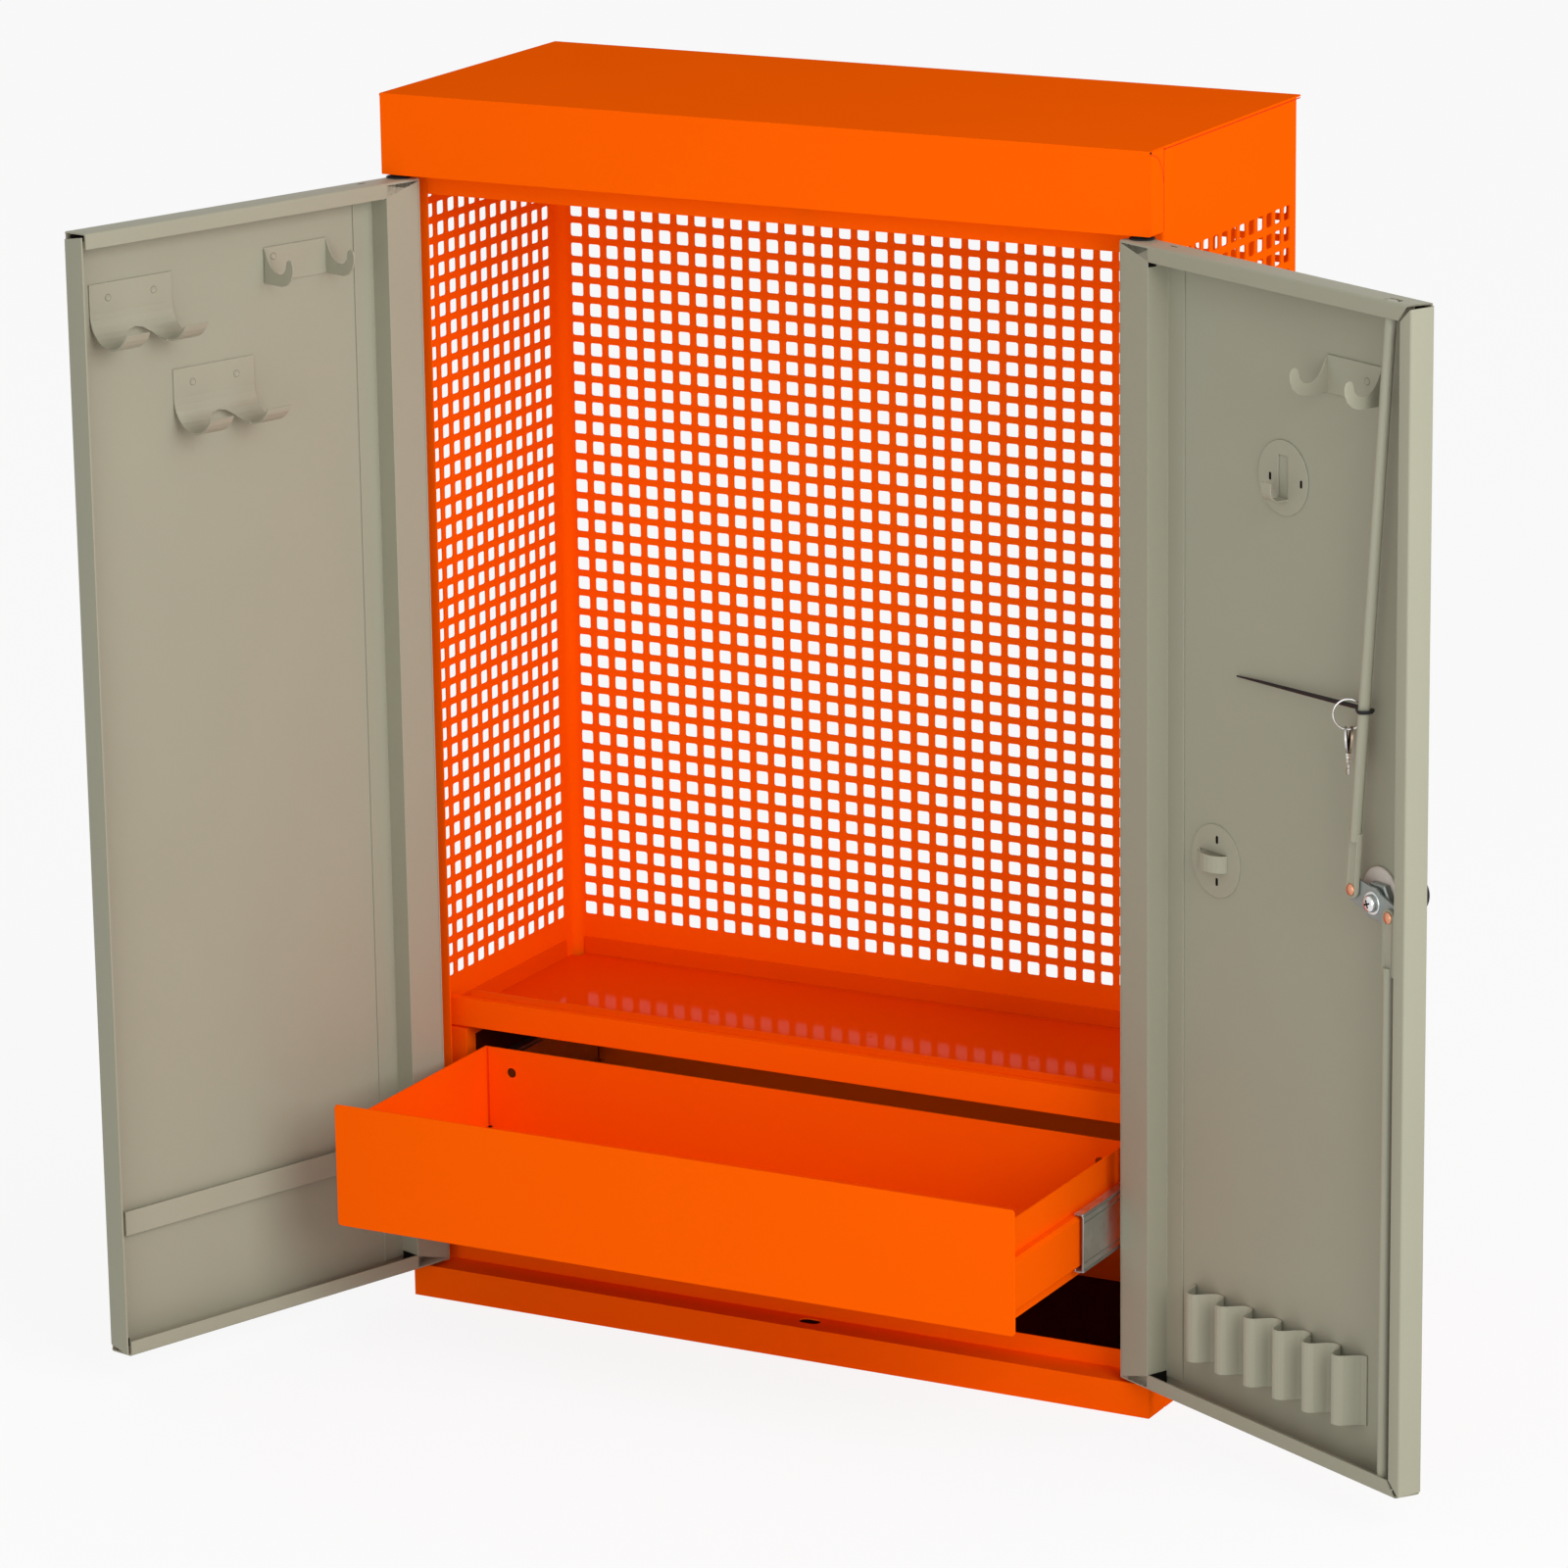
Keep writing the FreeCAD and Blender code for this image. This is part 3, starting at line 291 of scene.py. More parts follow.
def powder_coat(name, rgb, roughness, coat, ripple, gleam, bay_shade=False):
    """Paint baked from powder: even colour, fine ripples and a slight clouding of the gloss.

    In the closed bay below the tray the colour turns dark: painted shade.
    """
    shader = Shader(name)
    cloud = shader.noise(14.0, 3.0)
    dust = shader.noise(420.0, 2.0, 0.6)
    ripples = shader.noise(1.0 / settings().paint.grain, 1.0)
    base = shader.blend(tone(rgb, 0.955), tone(rgb, 1.03), cloud * 0.6 + dust * 0.4)
    if bay_shade:
        # Painted shade: the colour darkens almost to black inside the closed bay
        bay_shade_mask = (shader.along("Y") > BAY_FRONT) * (shader.along("Z") < BAY_TOP)
        base = shader.blend(base, tone(rgb, 0.06), bay_shade_mask)
    gloss = roughness + (cloud - 0.5) * 0.06 + (dust - 0.5) * 0.08
    shader.finish(base_color=base, roughness=gloss, coat_weight=coat, coat_roughness=0.08,
                  coat_ior=1.4, specular_ior_level=gleam,
                  normal=shader.bump(ripples * 0.7 + dust * 0.3, ripple))


def dark_gap(name, rgb):
    """A slit or open corner drawn as a plate of painted shade for the dark behind it, with a trace
    of dust.
    """
    shader = Shader(name)
    dust = shader.noise(700.0, 3.0, 0.6)
    shader.finish(base_color=shader.blend(rgb, tone(rgb, 2.2), dust), roughness=0.8 + dust * 0.15,
                  specular_ior_level=0.1, normal=shader.bump(dust, 0.00002))


def zinc_plate(name, rgb, roughness, spangle):
    """Galvanised or plated steel with a crystal pattern and fine drawing lines."""
    shader = Shader(name)
    crystal = shader.node("ShaderNodeTexVoronoi", {"feature": "F1"}, {
        "Vector": shader.place(), "Scale": spangle}, "Color")
    value = shader.node("ShaderNodeSeparateColor", {}, {"Color": crystal})
    cloud = shader.noise(60.0, 4.0)
    base = shader.blend(tone(rgb, 0.82), tone(rgb, 1.1), value * 0.5 + cloud * 0.5)
    shader.finish(base_color=base, metallic=1.0, roughness=roughness + value * 0.12,
                  normal=shader.bump(cloud, 0.00003))


def plain_metal(name, rgb, roughness):
    """Bare bright metal with fine scratches."""
    shader = Shader(name)
    scratch = shader.noise(900.0, 3.0, 0.7)
    base = shader.blend(tone(rgb, 0.8), tone(rgb, 1.08), shader.noise(150.0))
    shader.finish(base_color=base, metallic=1.0, roughness=roughness + scratch * 0.15,
                  normal=shader.bump(scratch, 0.00002))


def moulded_plastic(name, rgb, roughness):
    """Moulded plastic with a spark-eroded grain."""
    shader = Shader(name)
    grain = shader.noise(1500.0)
    base = shader.blend(tone(rgb, 0.8), tone(rgb, 1.5), shader.noise(80.0))
    shader.finish(base_color=base, roughness=roughness + (grain - 0.5) * 0.1,
                  specular_ior_level=0.18, normal=shader.bump(grain, 0.00004))


def make_finishes():
    paint = settings().paint
    shell, door = (paint.shell, paint.shell_roughness), (paint.door, paint.door_roughness)
    recipes = {
        powder_coat: (
            ("shell_orange", *shell, 0.0, 0.00004, 0.0),
            ("bay_orange", *shell, 0.0, 0.00004, 0.0, True),
            ("tray_orange", paint.tray, paint.tray_roughness, 0.17, 0.00001, 0.0),
            ("door_paint", *door, 0.0, 0.00005, 0.14),
            ("holder_paint", tone(door[0], 1.03), door[1] - 0.04, 0.0, 0.00004, 0.3),
            ("rod_paint", paint.door, 0.4, 0.0, 0.00003, 0.3),
            ("collar_zinc", (0.66, 0.60, 0.53), 0.4, 0.0, 0.00003, 0.4)),
        dark_gap: (
            ("slit_dark", paint.gap), ("shell_crease", paint.crease),
            ("door_crease", paint.door_crease)),
        zinc_plate: (
            ("slide_zinc", paint.zinc, 0.3, 160.0),
            ("cam_zinc", (0.33, 0.36, 0.34), 0.5, 900.0)),
        plain_metal: (
            ("pin_steel", (0.55, 0.55, 0.56), 0.28),
            ("screw_bright", (0.80, 0.80, 0.80), 0.2),
            ("key_brass", (0.40, 0.30, 0.22), 0.35),
            ("key_nickel", (0.60, 0.58, 0.55), 0.3),
            ("rivet_copper", paint.copper, 0.3)),
        moulded_plastic: (("bush_black", paint.black, 0.42), ("knob_black", paint.black, 0.35)),
    }
    for recipe, rows in recipes.items():
        for row in rows:
            recipe(*row)


def dress(piece, finish):
    """Gives a piece one finish in every slot."""
    material = bpy.data.materials[f"cabinet_{finish}"]
    if not piece.material_slots:
        piece.data.materials.append(material)
    for slot in piece.material_slots:
        slot.material = material


# Meshes

def arc(radius, start, sweep, steps, middle=(0.0, 0.0)):
    """Points along an arc in the plane, with both of its ends. Angles are in degrees."""
    turns = [radians(start + sweep * k / steps) for k in range(steps + 1)]
    return [(middle[0] + radius * cos(turn), middle[1] + radius * sin(turn))
            for turn in turns]


def circle(radius, steps):
    return arc(radius, 0, 360, steps)[:-1]


def oblong(left, low, right, high, corner=0.0, steps=4):
    """Points round an upright rectangle with rounded corners, the lower left one first."""
    if not corner:
        return [(left, low), (right, low), (right, high), (left, high)]
    middles = oblong(left + corner, low + corner, right - corner, high - corner)
    return [spot for start, middle in zip((180, 270, 0, 90), middles)
            for spot in arc(corner, start, 90, steps, middle)]


def shift(x, y, z):
    """A placement at a spot in millimetres."""
    return Matrix.Translation(Vector((x, y, z)) * MM)


def spin(degrees, axis):
    return Matrix.Rotation(radians(degrees), 4, axis)


def bridge(mesh, first, second, closed=True):
    """Faces between two lines of as many points."""
    size = len(first)
    for k in range(size if closed else size - 1):
        after = (k + 1) % size
        mesh.faces.new([first[k], first[after], second[after], second[k]])


class Shape:
    """A mesh in the making. Lengths are in millimetres, in the axes of its placement."""

    def __init__(self, place=None):
        self.mesh = bmesh.new()
        self.place = place or Matrix.Identity(4)

    def at(self, place):
        """Goes on at another placement."""
        self.place = place
        return self

    def take(self, other, place):
        """Takes in another shape's mesh at a placement."""
        other.mesh.transform(place)
        data = bpy.data.meshes.new("part")
        other.mesh.to_mesh(data)
        other.mesh.free()
        self.mesh.from_mesh(data)
        bpy.data.meshes.remove(data)

    def ring(self, points):
        return [self.mesh.verts.new(self.place @ (Vector(point) * MM)) for point in points]

    def level(self, outline, height):
        return self.ring([(x, y, height) for x, y in outline])

    def lathe(self, profile, steps=24):
        """Turns pairs of radius and height about the z axis. A radius of 0 closes an end."""
        rings = [self.level(circle(radius, steps if radius else 1), height)
                 for radius, height in profile]
        for first, second in zip(rings, rings[1:]):
            if len(first) == len(second):
                bridge(self.mesh, first, second)
                continue
            (tip,), rim = sorted((first, second), key=len)
            for k in range(steps):
                self.mesh.faces.new([rim[k], rim[(k + 1) % steps], tip])
        return self

    def plate(self, outline, low, high):
        """A flat outline in x and y, raised from one height to another."""
        ends = [self.level(outline, height) for height in (low, high)]
        for end in ends:
            self.mesh.faces.new(end)
        bridge(self.mesh, *ends)
        return self

    def tube(self, points, radii, closed=False, steps=8, flat=1.0):
        """A bar along points. It takes one radius or a list, and flat squeezes its section."""
        points = [Vector(point) for point in points]
        if isinstance(radii, float):
            radii = [radii] * len(points)
        before, after = (points[-1], points[0]) if closed else (points[0], points[-1])
        rings, side = [], None
        for behind, point, ahead, radius in zip([before, *points], points, [*points[1:], after],
                                                radii):
            way = (ahead - behind).normalized()
            side = side or way.orthogonal()
            side = (side - way * side.dot(way)).normalized()
            other = way.cross(side) * flat
            rings.append(self.ring([point + side * x + other * y
                                    for x, y in circle(radius, steps)]))
        for first, second in zip(rings, rings[1:]):
            bridge(self.mesh, first, second)
        if closed:
            bridge(self.mesh, rings[-1], rings[0])
        else:
            self.mesh.faces.new(rings[0])
            self.mesh.faces.new(rings[-1])
        return self


class DoorFace:
    """Finds spots on a door: along it from the pin, up, and out of its inner face."""
    EDGE_ON = "out up along"
    FLAT_ON = "along out up"
    FLANGE = "up out along"

    def __init__(self, side):
        sign = 1.0 if side == "left" else -1.0
        opened = getattr(settings().doors, f"{side}_open")
        hinge = next(joint for joint in frame["record"]["behaviour"]["joints"]
                     if joint["name"] == f"{side}_door_hinge")
        self.body = f"{side}_door"
        self.pin = Vector((*hinge["pos_m"][:2], 0.0))
        self.along = Vector((sign * cos(opened), -sin(opened), 0.0))
        self.up = Vector((0.0, 0.0, 1.0))
        self.out = Vector((sign * sin(opened), cos(opened), 0.0))

    def at(self, along=0.0, up=0.0, out=0.0, axes="along up out"):
        """A placement at a spot in mm. The ways of its x, y and z are named in that order."""
        spot = self.pin + (self.along * along + self.up * up + self.out * out) * MM
        turn = Matrix([getattr(self, way) for way in axes.split()]).transposed().to_4x4()
        return Matrix.Translation(spot) @ turn


def add_object(name, data):
    made = bpy.data.objects.new(name, data)
    bpy.context.scene.collection.objects.link(made)
    return made


def mesh_object(name, mesh):
    data = bpy.data.meshes.new(name)
    mesh.to_mesh(data)
    mesh.free()
    return add_object(name, data)


def new_piece(name, shape, body, slot, finish=None):
    """Turns a shape into a piece that rides on a body."""
    mesh = shape.mesh
    bmesh.ops.recalc_face_normals(mesh, faces=mesh.faces)
    sharp = radians(32)
    for edge in mesh.edges:
        edge.smooth = edge.is_manifold and edge.calc_face_angle(0.0) < sharp
    for face in mesh.faces:
        face.smooth = True
    piece = mesh_object(name, mesh)
    dress(piece, finish or slot)
    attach(piece, body)
    return piece


def bevel(piece, width):
    """Rounds a piece's edges with a modifier."""
    made = piece.modifiers.new("bevel", "BEVEL")
    made.width = width
    made.segments = 2
    return made


class Fold:
    """A strip of sheet followed in plan, as pairs of points on its outer and inner face."""

    def __init__(self, start, heading, mirror=1.0):
        self.here = Vector(start)
        self.heading = Vector(heading)
        self.mirror = mirror
        self.pairs = []
        self.holes = []
        self.mark()

    def inward(self):
        return Vector((-self.heading.y, self.heading.x))

    def mark(self, hole=None):
        """Notes the points reached, and the hole in the stretch that leads there."""
        inner = self.here + self.inward() * GAUGE
        self.pairs.append([Vector((p.x * self.mirror, p.y)) for p in (self.here, inner)])
        self.holes.append(hole)

    def run(self, distance, hole=None):
        """A straight stretch. A hole is where it starts along the stretch and how wide it is."""
        self.here = self.here + self.heading * distance
        self.mark(hole)
        return self

    def turn(self, inner_radius, steps=5):
        """A right-angled bend towards the inner face."""
        centre = self.here + self.inward() * (inner_radius + GAUGE)
        step = Matrix.Rotation(radians(90) / steps, 2)
        for _ in range(steps):
            self.here = centre + step @ (self.here - centre)
            self.heading = step @ self.heading
            self.mark()
        return self

    def sheet(self, heights, holes_up, radius=0.0):
        """The strip raised through the heights, with a hole where both lists have one."""
        shape = Shape()
        mesh = shape.mesh
        outer, inner = lattice = [[[mesh.verts.new((*pair[face], z)) for z in heights]
                                   for pair in self.pairs] for face in (0, 1)]
        for i, (start, stop, hole) in enumerate(zip(self.pairs, self.pairs[1:], self.holes[1:])):
            run = (stop[0] - start[0]).length
            for j, up in enumerate(holes_up):
                rings = []
                for face, points in enumerate(lattice):
                    corners = [points[i][j], points[i + 1][j], points[i + 1][j + 1],
                               points[i][j + 1]]
                    if not (hole and up):
                        mesh.faces.new(corners)
                        continue
                    outline = oblong(hole[0], up[0], sum(hole), sum(up), radius, 2)
                    rings.append([mesh.verts.new((*start[face].lerp(stop[face], u / run),
                                                  heights[j] + v)) for u, v in outline])
                    self.frame_hole(mesh, corners, rings[-1])
                if rings:
                    bridge(mesh, *rings)
        rims = [(outer[i], inner[i]) for i in (0, -1)]
        rims += [[[line[j] for line in points] for points in lattice] for j in (0, -1)]
        for rim in rims:
            bridge(mesh, *rim, closed=False)
        return shape

    @staticmethod
    def frame_hole(mesh, corners, ring):
        """Faces from a cell's four corners to a hole that has three points at each corner."""
        for k in range(4):
            after = (k + 1) % 4
            mesh.faces.new([corners[k], corners[after], ring[3 * after + 1], ring[3 * after],
                            ring[3 * k + 2], ring[3 * k + 1]])


# Operators

class CABINET_OT_finishes(Operator):
    """Makes the finishes and gives each solid its own"""
    bl_idname = "cabinet.finishes"
    bl_label = "Finishes"

    def execute(self, context):
        make_finishes()
        finishes = {part["node"]: part["material_slot"] for part in frame["record"]["subparts"]}
        for name in ("shelf_tray", "tray_lips"):
            finishes[name] = "tray_orange"
        # The bay's parts take the orange with painted shade inside the bay
        for name in ("base_pan", "runner_bracket_left", "runner_bracket_right"):
            finishes[name] = "bay_orange"
        for name, piece in frame["nodes"].items():
            dress(piece, finishes[name])
        return {"FINISHED"}


class CABINET_OT_edges(Operator):
    """Rounds the folded and cut edges of the solids that stay"""
    bl_idname = "cabinet.edges"
    bl_label = "Edges"

    def execute(self, context):
        for piece in frame["nodes"].values():
            if piece.hide_render:
                continue
            weld = piece.modifiers.new("weld", "WELD")
            weld.merge_threshold = 0.02 * MM
            flat = piece.modifiers.new("flat", "DECIMATE")
            flat.decimate_type = "DISSOLVE"
            flat.angle_limit = radians(1.0)
            edge = bevel(piece, 0.4 * MM)
            edge.limit_method = "ANGLE"
            edge.angle_limit = radians(35)
            edge.harden_normals = True
            edge.miter_outer = "MITER_ARC"
        return {"FINISHED"}


class CABINET_OT_panels(Operator):
    """Makes the perforated back and sides with every hole"""
    bl_idname = "cabinet.panels"
    bl_label = "Perforated panels"

    def execute(self, context):
        field = settings().perforation
        low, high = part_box("side_panel_right")
        back_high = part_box("back_panel")[1]
        corner, bend = 2.0 * MM, 8.0 * MM
        margin = (field.pitch - field.side) / 2
        hole = (margin, field.side)
        foot = field.low - field.pitch / 2
        heights = [0.0, *[foot + field.pitch * k for k in range(field.rows + 1)], high.z]
        holes_up = [None, *[hole] * field.rows, None]
        folds = {}
        for name, mirror in (("side_panel_right", 1.0), ("side_panel_left", -1.0)):
            fold = folds[name] = Fold((low.x, low.y), (1, 0), mirror)
            fold.run(high.x - low.x - corner - GAUGE).turn(corner, 4)
            fold.run(field.side_start - corner - GAUGE)
            for _ in range(field.side_columns):
                fold.run(field.pitch, hole)
            fold.run(high.y - bend - GAUGE - fold.here.y).turn(bend, 8)
            fold.run(fold.here.x - back_high.x)
        fold = folds["back_panel"] = Fold((back_high.x, back_high.y), (-1, 0))
        edge = back_high.x - (field.back_columns - 2) * field.pitch / 2
        fold.run(edge, (edge - margin - field.side, field.side))
        for _ in range(field.back_columns - 2):
            fold.run(field.pitch, hole)
        fold.run(edge, hole)
        for name, fold in folds.items():
            sheet = fold.sheet(heights, holes_up, field.corner)
            piece = new_piece(f"{name}_sheet", sheet, "cabinet", "shell_orange")
            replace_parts(piece, name)
        return {"FINISHED"}


class CABINET_OT_door_pans(Operator):
    """Makes the door pans as folded sheet with open corners and the rods' slots"""
    bl_idname = "cabinet.door_pans"
    bl_label = "Door pans"

    def execute(self, context):
        doors = settings().doors
        edges = (-8.0 * MM, -7.0 * MM, doors.lip, doors.edge)
        for side in ("left", "right"):
            door = DoorFace(side)
            low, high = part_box(f"door_{side}_pan")
            pan = Shape()
            for sheet in (self.skin(edges, low.z, high.z), self.web(side, edges, low.z, high.z)):
                pan.take(sheet, door.at(axes=door.FLAT_ON))
            for height, mirror, rod in ((high.z, 1.0, "upper"), (low.z, -1.0, "lower")):
                sheet = self.flange(side, edges, height, mirror, RODS[rod][1][0] * MM)
                pan.take(sheet, door.at(axes=door.FLANGE))
            piece = new_piece(f"door_{side}_folded", pan, door.body, "door_paint")
            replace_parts(piece, f"door_{side}_pan")
        return {"FINISHED"}

    def skin(self, edges, low, high):
        """The skin and the hinge side's wall."""
        hinge, back, front, edge = edges
        fold = Fold((hinge, front), (0, -1)).run(front - back - FOLD).turn(BEND)
        fold.run(edge - hinge - 2 * FOLD)
        return fold.sheet([low + FOLD, high - FOLD], [None])

    def web(self, side, edges, low, high):
        """The free edge's wall, cut slanting at its ends. The right door's has a lip."""
        back, front, edge = edges[1:]
        fold = Fold((edge - FOLD, back), (1, 0)).turn(BEND)
        if side == "left":
            fold.run(front - back - FOLD)
        else:
            fold.run(front - back - 2 * FOLD).turn(BEND).run(LIP - FOLD)
        sheet = fold.sheet([low + 2.2 * MM, high - 2.2 * MM], [None])
        for vert in sheet.mesh.verts:
            if side == "left":
                slope = 0.17 * (front - vert.co.y)
            else:
                on_lip = vert.co.y > front - FOLD
                slope = 0.95 * max(0.0, edge - GAUGE - vert.co.x) * on_lip
            vert.co.z += slope if vert.co.z < (low + high) / 2 else -slope
        return sheet

    def flange(self, side, edges, height, mirror, rod):
        """An end's flange and lip, cut back at the free edge, with the right door's rod slot."""
        hinge, back, front, edge = edges
        corner = 24.0 * MM
        flat = front - back - 2 * FOLD
        slot = (8.4 * MM, flat - 8.6 * MM) if side == "right" else None
        fold = Fold((height * mirror - FOLD, back), (1, 0), mirror)
        fold.turn(BEND).run(flat, slot).turn(BEND).run(LIP - FOLD)
        stops = [hinge, corner, rod - 7.5 * MM, rod + 7.5 * MM, edge - 1.3 * MM]
        sheet = fold.sheet(stops, [None, None, (0.2 * MM, 14.6 * MM), None], 2.5 * MM)
        mesh = sheet.mesh
        for vert in mesh.verts:
            inset = vert.co.y - back
            fall = abs(height - vert.co.x)
            if vert.co.z > edge - 2.0 * MM:
                vert.co.z -= inset * 0.13 if side == "left" else inset * 0.2 + fall * 0.75
            if vert.co.z < hinge + 0.1 * MM and fall > FOLD + 0.1 * MM and inset > 10 * MM:
                vert.co.z = corner
        bmesh.ops.dissolve_degenerate(mesh, edges=mesh.edges, dist=0.01 * MM)
        return sheet


class CABINET_OT_hook_brackets(Operator):
    """Makes the two-hook brackets: a plate with a hook cut from each of its sides"""
    bl_idname = "cabinet.hook_brackets"
    bl_label = "Hook brackets"

    def execute(self, context):
        doors = settings().doors
        skin, edge = doors.skin / MM, doors.edge / MM
        wide, high, thick = 28.0, 12.75, 1.2
        hook = [(0.0, -1.0), (0.0, -25.5), (9.0, -25.5), (20.0, -25.5), (26.0, -23.6),
                (30.5, -19.5), (32.8, -14.0), (33.0, -9.5), (31.6, -6.4), (28.8, -5.2),
                (26.2, -6.6), (25.2, -9.6), (24.4, -13.0), (21.6, -16.0), (17.6, -17.2),
                (13.4, -16.6), (9.0, -13.6), (5.4, -8.6), (3.0, -3.4), (1.6, -1.0)]
        for side, middle in (("left", 91.5), ("right", edge - 76.0)):
            door = DoorFace(side)
            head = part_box(f"hook_bracket_{side}")[1].z / MM
            shape = Shape(door.at(middle, head - high, skin))
            shape.plate(oblong(-wide, -high, wide, high, 0.8), 0.0, thick)
            for along in (-wide, wide - thick):
                shape.at(door.at(middle + along, head, skin, door.EDGE_ON))
                shape.plate(hook, 0.0, thick)
            piece = new_piece(f"hook_bracket_{side}_bent", shape, door.body, "holder_paint")
            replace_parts(piece, f"hook_bracket_{side}")
            bevel(piece, 0.35 * MM)
        return {"FINISHED"}


class CABINET_OT_shell_seams(Operator):
    """Makes the hood's cheeks, the tray's welds, and painted shadow lines along the hood's seams,
    the tray floor's rear edge and the drawer's joints
    """
    bl_idname = "cabinet.shell_seams"
    bl_label = "Shell seams"

    def execute(self, context):
        hood_low, hood_high = (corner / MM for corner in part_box("top_hood"))
        front, foot, head = hood_low.y, hood_low.z, hood_high.z
        back = 124.0
        cheek, seams, dark = Shape(), Shape(), Shape()
        for sign in (1.0, -1.0):
            turn = Matrix(((0.0, 0.0, sign), (1.0, 0.0, 0.0), (0.0, 1.0, 0.0))).to_4x4()
            side = shift(sign * hood_high.x, 0.0, 0.0) @ turn
            face = oblong(front + 0.4, foot + 0.2, front + 21.6, head - 0.6)
            cheek.at(side).plate(face, -0.9, 0.35)
            # Painted shadow lines along the cheek's edge and under the top sheet's overhang
            for seam in ((front + 21.7, foot + 0.4, front + 22.6, head - 1.0),
                         (front + 23.0, head - 2.4, back, head - 1.7)):
                seams.at(side).plate(oblong(*seam), -0.2, 0.3)
            # A curved painted shadow line along the cheek's arc
            outer, inner = ([(front + 1.0 + (20.4 - inset) * y, head - 24.0 + (21.5 - inset) * x)
                             for x, y in arc(1.0, 0, 90, 16)] for inset in (0.0, 0.6))
            seams.plate(outer + inner[::-1], 0.2, 0.5)
            # Plates of painted shade in the hood's open front corners
            corner = oblong(front + 0.3, head - 2.0, front + 2.2, head - 0.5, 0.4)
            dark.at(side).plate(corner, 0.2, 0.6)
        new_piece("hood_cheeks", cheek, "cabinet", "shell_orange")
        tray_low, tray_high = (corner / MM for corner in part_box("shelf_tray"))
        floor = tray_low.z + 1.2
        welds = Shape()
        for x in (-262.0, -128.0, 4.0, 136.0, 264.0):
            welds.at(shift(x, tray_high.y - 96.0, floor)).lathe(
                [(2.6, -0.1), (2.5, 0.12), (1.9, 0.2), (1.2, 0.06), (0.0, 0.02)])
        new_piece("tray_welds", welds, "cabinet", "shell_orange", "tray_orange")
        seams.at(Matrix.Identity(4))
        # A painted shadow line along the rear edge of the tray's floor
        rear = oblong(tray_low.x + 14.0, tray_high.y - 6.0, tray_high.x - 14.0, tray_high.y - 5.4)
        seams.plate(rear, floor - 0.1, floor + 0.06)
        new_piece("hood_seams", seams, "cabinet", "shell_orange", "shell_crease")
        new_piece("hood_corners", dark, "cabinet", "shell_orange", "slit_dark")
        self.drawer()
        return {"FINISHED"}

    def drawer(self):
        """Painted shadow lines at the joints of the drawer's back wall with its sides, and the
        round corner holes as plates of painted shade.
        """
        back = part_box("drawer_box")[1].y / MM
        lines, holes = Shape(), Shape()
        for sign in (-1.0, 1.0):
            wall = sign * 259.7
            left, right = sorted((wall, wall - sign * 0.5))
            # A painted shadow line in each joint
            lines.plate(oblong(left, back - 1.9, right, back - 1.1), 124.3, 184.8)
            holes.at(shift(sign * 257.5, back - 4.2, 124.25)).lathe(
                [(1.7, -0.2), (1.7, 0.05), (0.0, 0.05)], 12)
        new_piece("drawer_seams", lines, "drawer", "shell_orange", "shell_crease")
        new_piece("drawer_corner_holes", holes, "drawer", "shell_orange", "slit_dark")


class CABINET_OT_slide_edges(Operator):
    """Makes the rolled edges and the front rims of the galvanised slides"""
    bl_idname = "cabinet.slide_edges"
    bl_label = "Slide edges"

    def execute(self, context):
        for side, sign in (("left", -1.0), ("right", 1.0)):
            low, high = (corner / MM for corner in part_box(f"slide_middle_{side}"))
            face = high.x if sign > 0 else low.x
            shape = Shape()
            for level, way in ((low.z + 1.3, 1.0), (high.z - 1.3, -1.0)):
                roll = [(face - sign * inset, y, level) for inset, y in
                        ((0.6, low.y + 0.6), (0.3, low.y + 3.0), (0.3, high.y - 2.0))]
                shape.tube(roll, [1.5, 1.35, 1.35], steps=10)
                crease = [(face + sign * 0.05, y, level + way * 5.5)
                          for y in (low.y + 1.5, high.y - 2.0)]
                shape.tube(crease, 0.5, steps=6)
            rim = [(5.6, low.z + 0.7), (0.8, low.z + 0.7), (0.1, low.z + 2.4),
                   (0.1, high.z - 2.4), (0.8, high.z - 0.7), (5.6, high.z - 0.7)]
            shape.tube([(face - sign * inset, low.y + 0.2, z) for inset, z in rim], 0.75)
            new_piece(f"slide_edges_{side}", shape, f"slide_{side}", "slide_zinc", "cam_zinc")
        return {"FINISHED"}


class CABINET_OT_rivets(Operator):
    """Makes the riveted heads of the holders on both doors, each with a ring of painted shadow
    round it
    """
    bl_idname = "cabinet.rivets"
    bl_label = "Holder rivets"

    def execute(self, context):
        plate = settings().doors.plate / MM
        button = [(2.2, 0.0), (2.15, 0.25), (1.9, 0.42), (1.5, 0.4), (1.2, 0.15), (0.8, 0.08),
                  (0.4, 0.14), (0.0, 0.18)]
        # A flat ring of painted shadow round each head
        rim = [(2.15, 0.0), (2.15, 0.1), (2.65, 0.1), (2.65, 0.0), (2.15, 0.0)]
        spots = {"left": ((256.6, 788.3), (217.3, 788.3), (186.4, 718.5), (147.7, 718.5),
                          (111.5, 797.0)),
                 "right": ((227.4, 777.9),)}
        for side, places in spots.items():
            door = DoorFace(side)
            heads, rims = Shape(), Shape()
            for along, up in places:
                heads.at(door.at(along, up, plate)).lathe(button)
                rims.at(heads.place).lathe(rim)
            new_piece(f"holder_rivets_{side}", heads, door.body, "holder_paint")
            new_piece(f"rivet_rims_{side}", rims, door.body, "holder_paint", "door_crease")
        return {"FINISHED"}


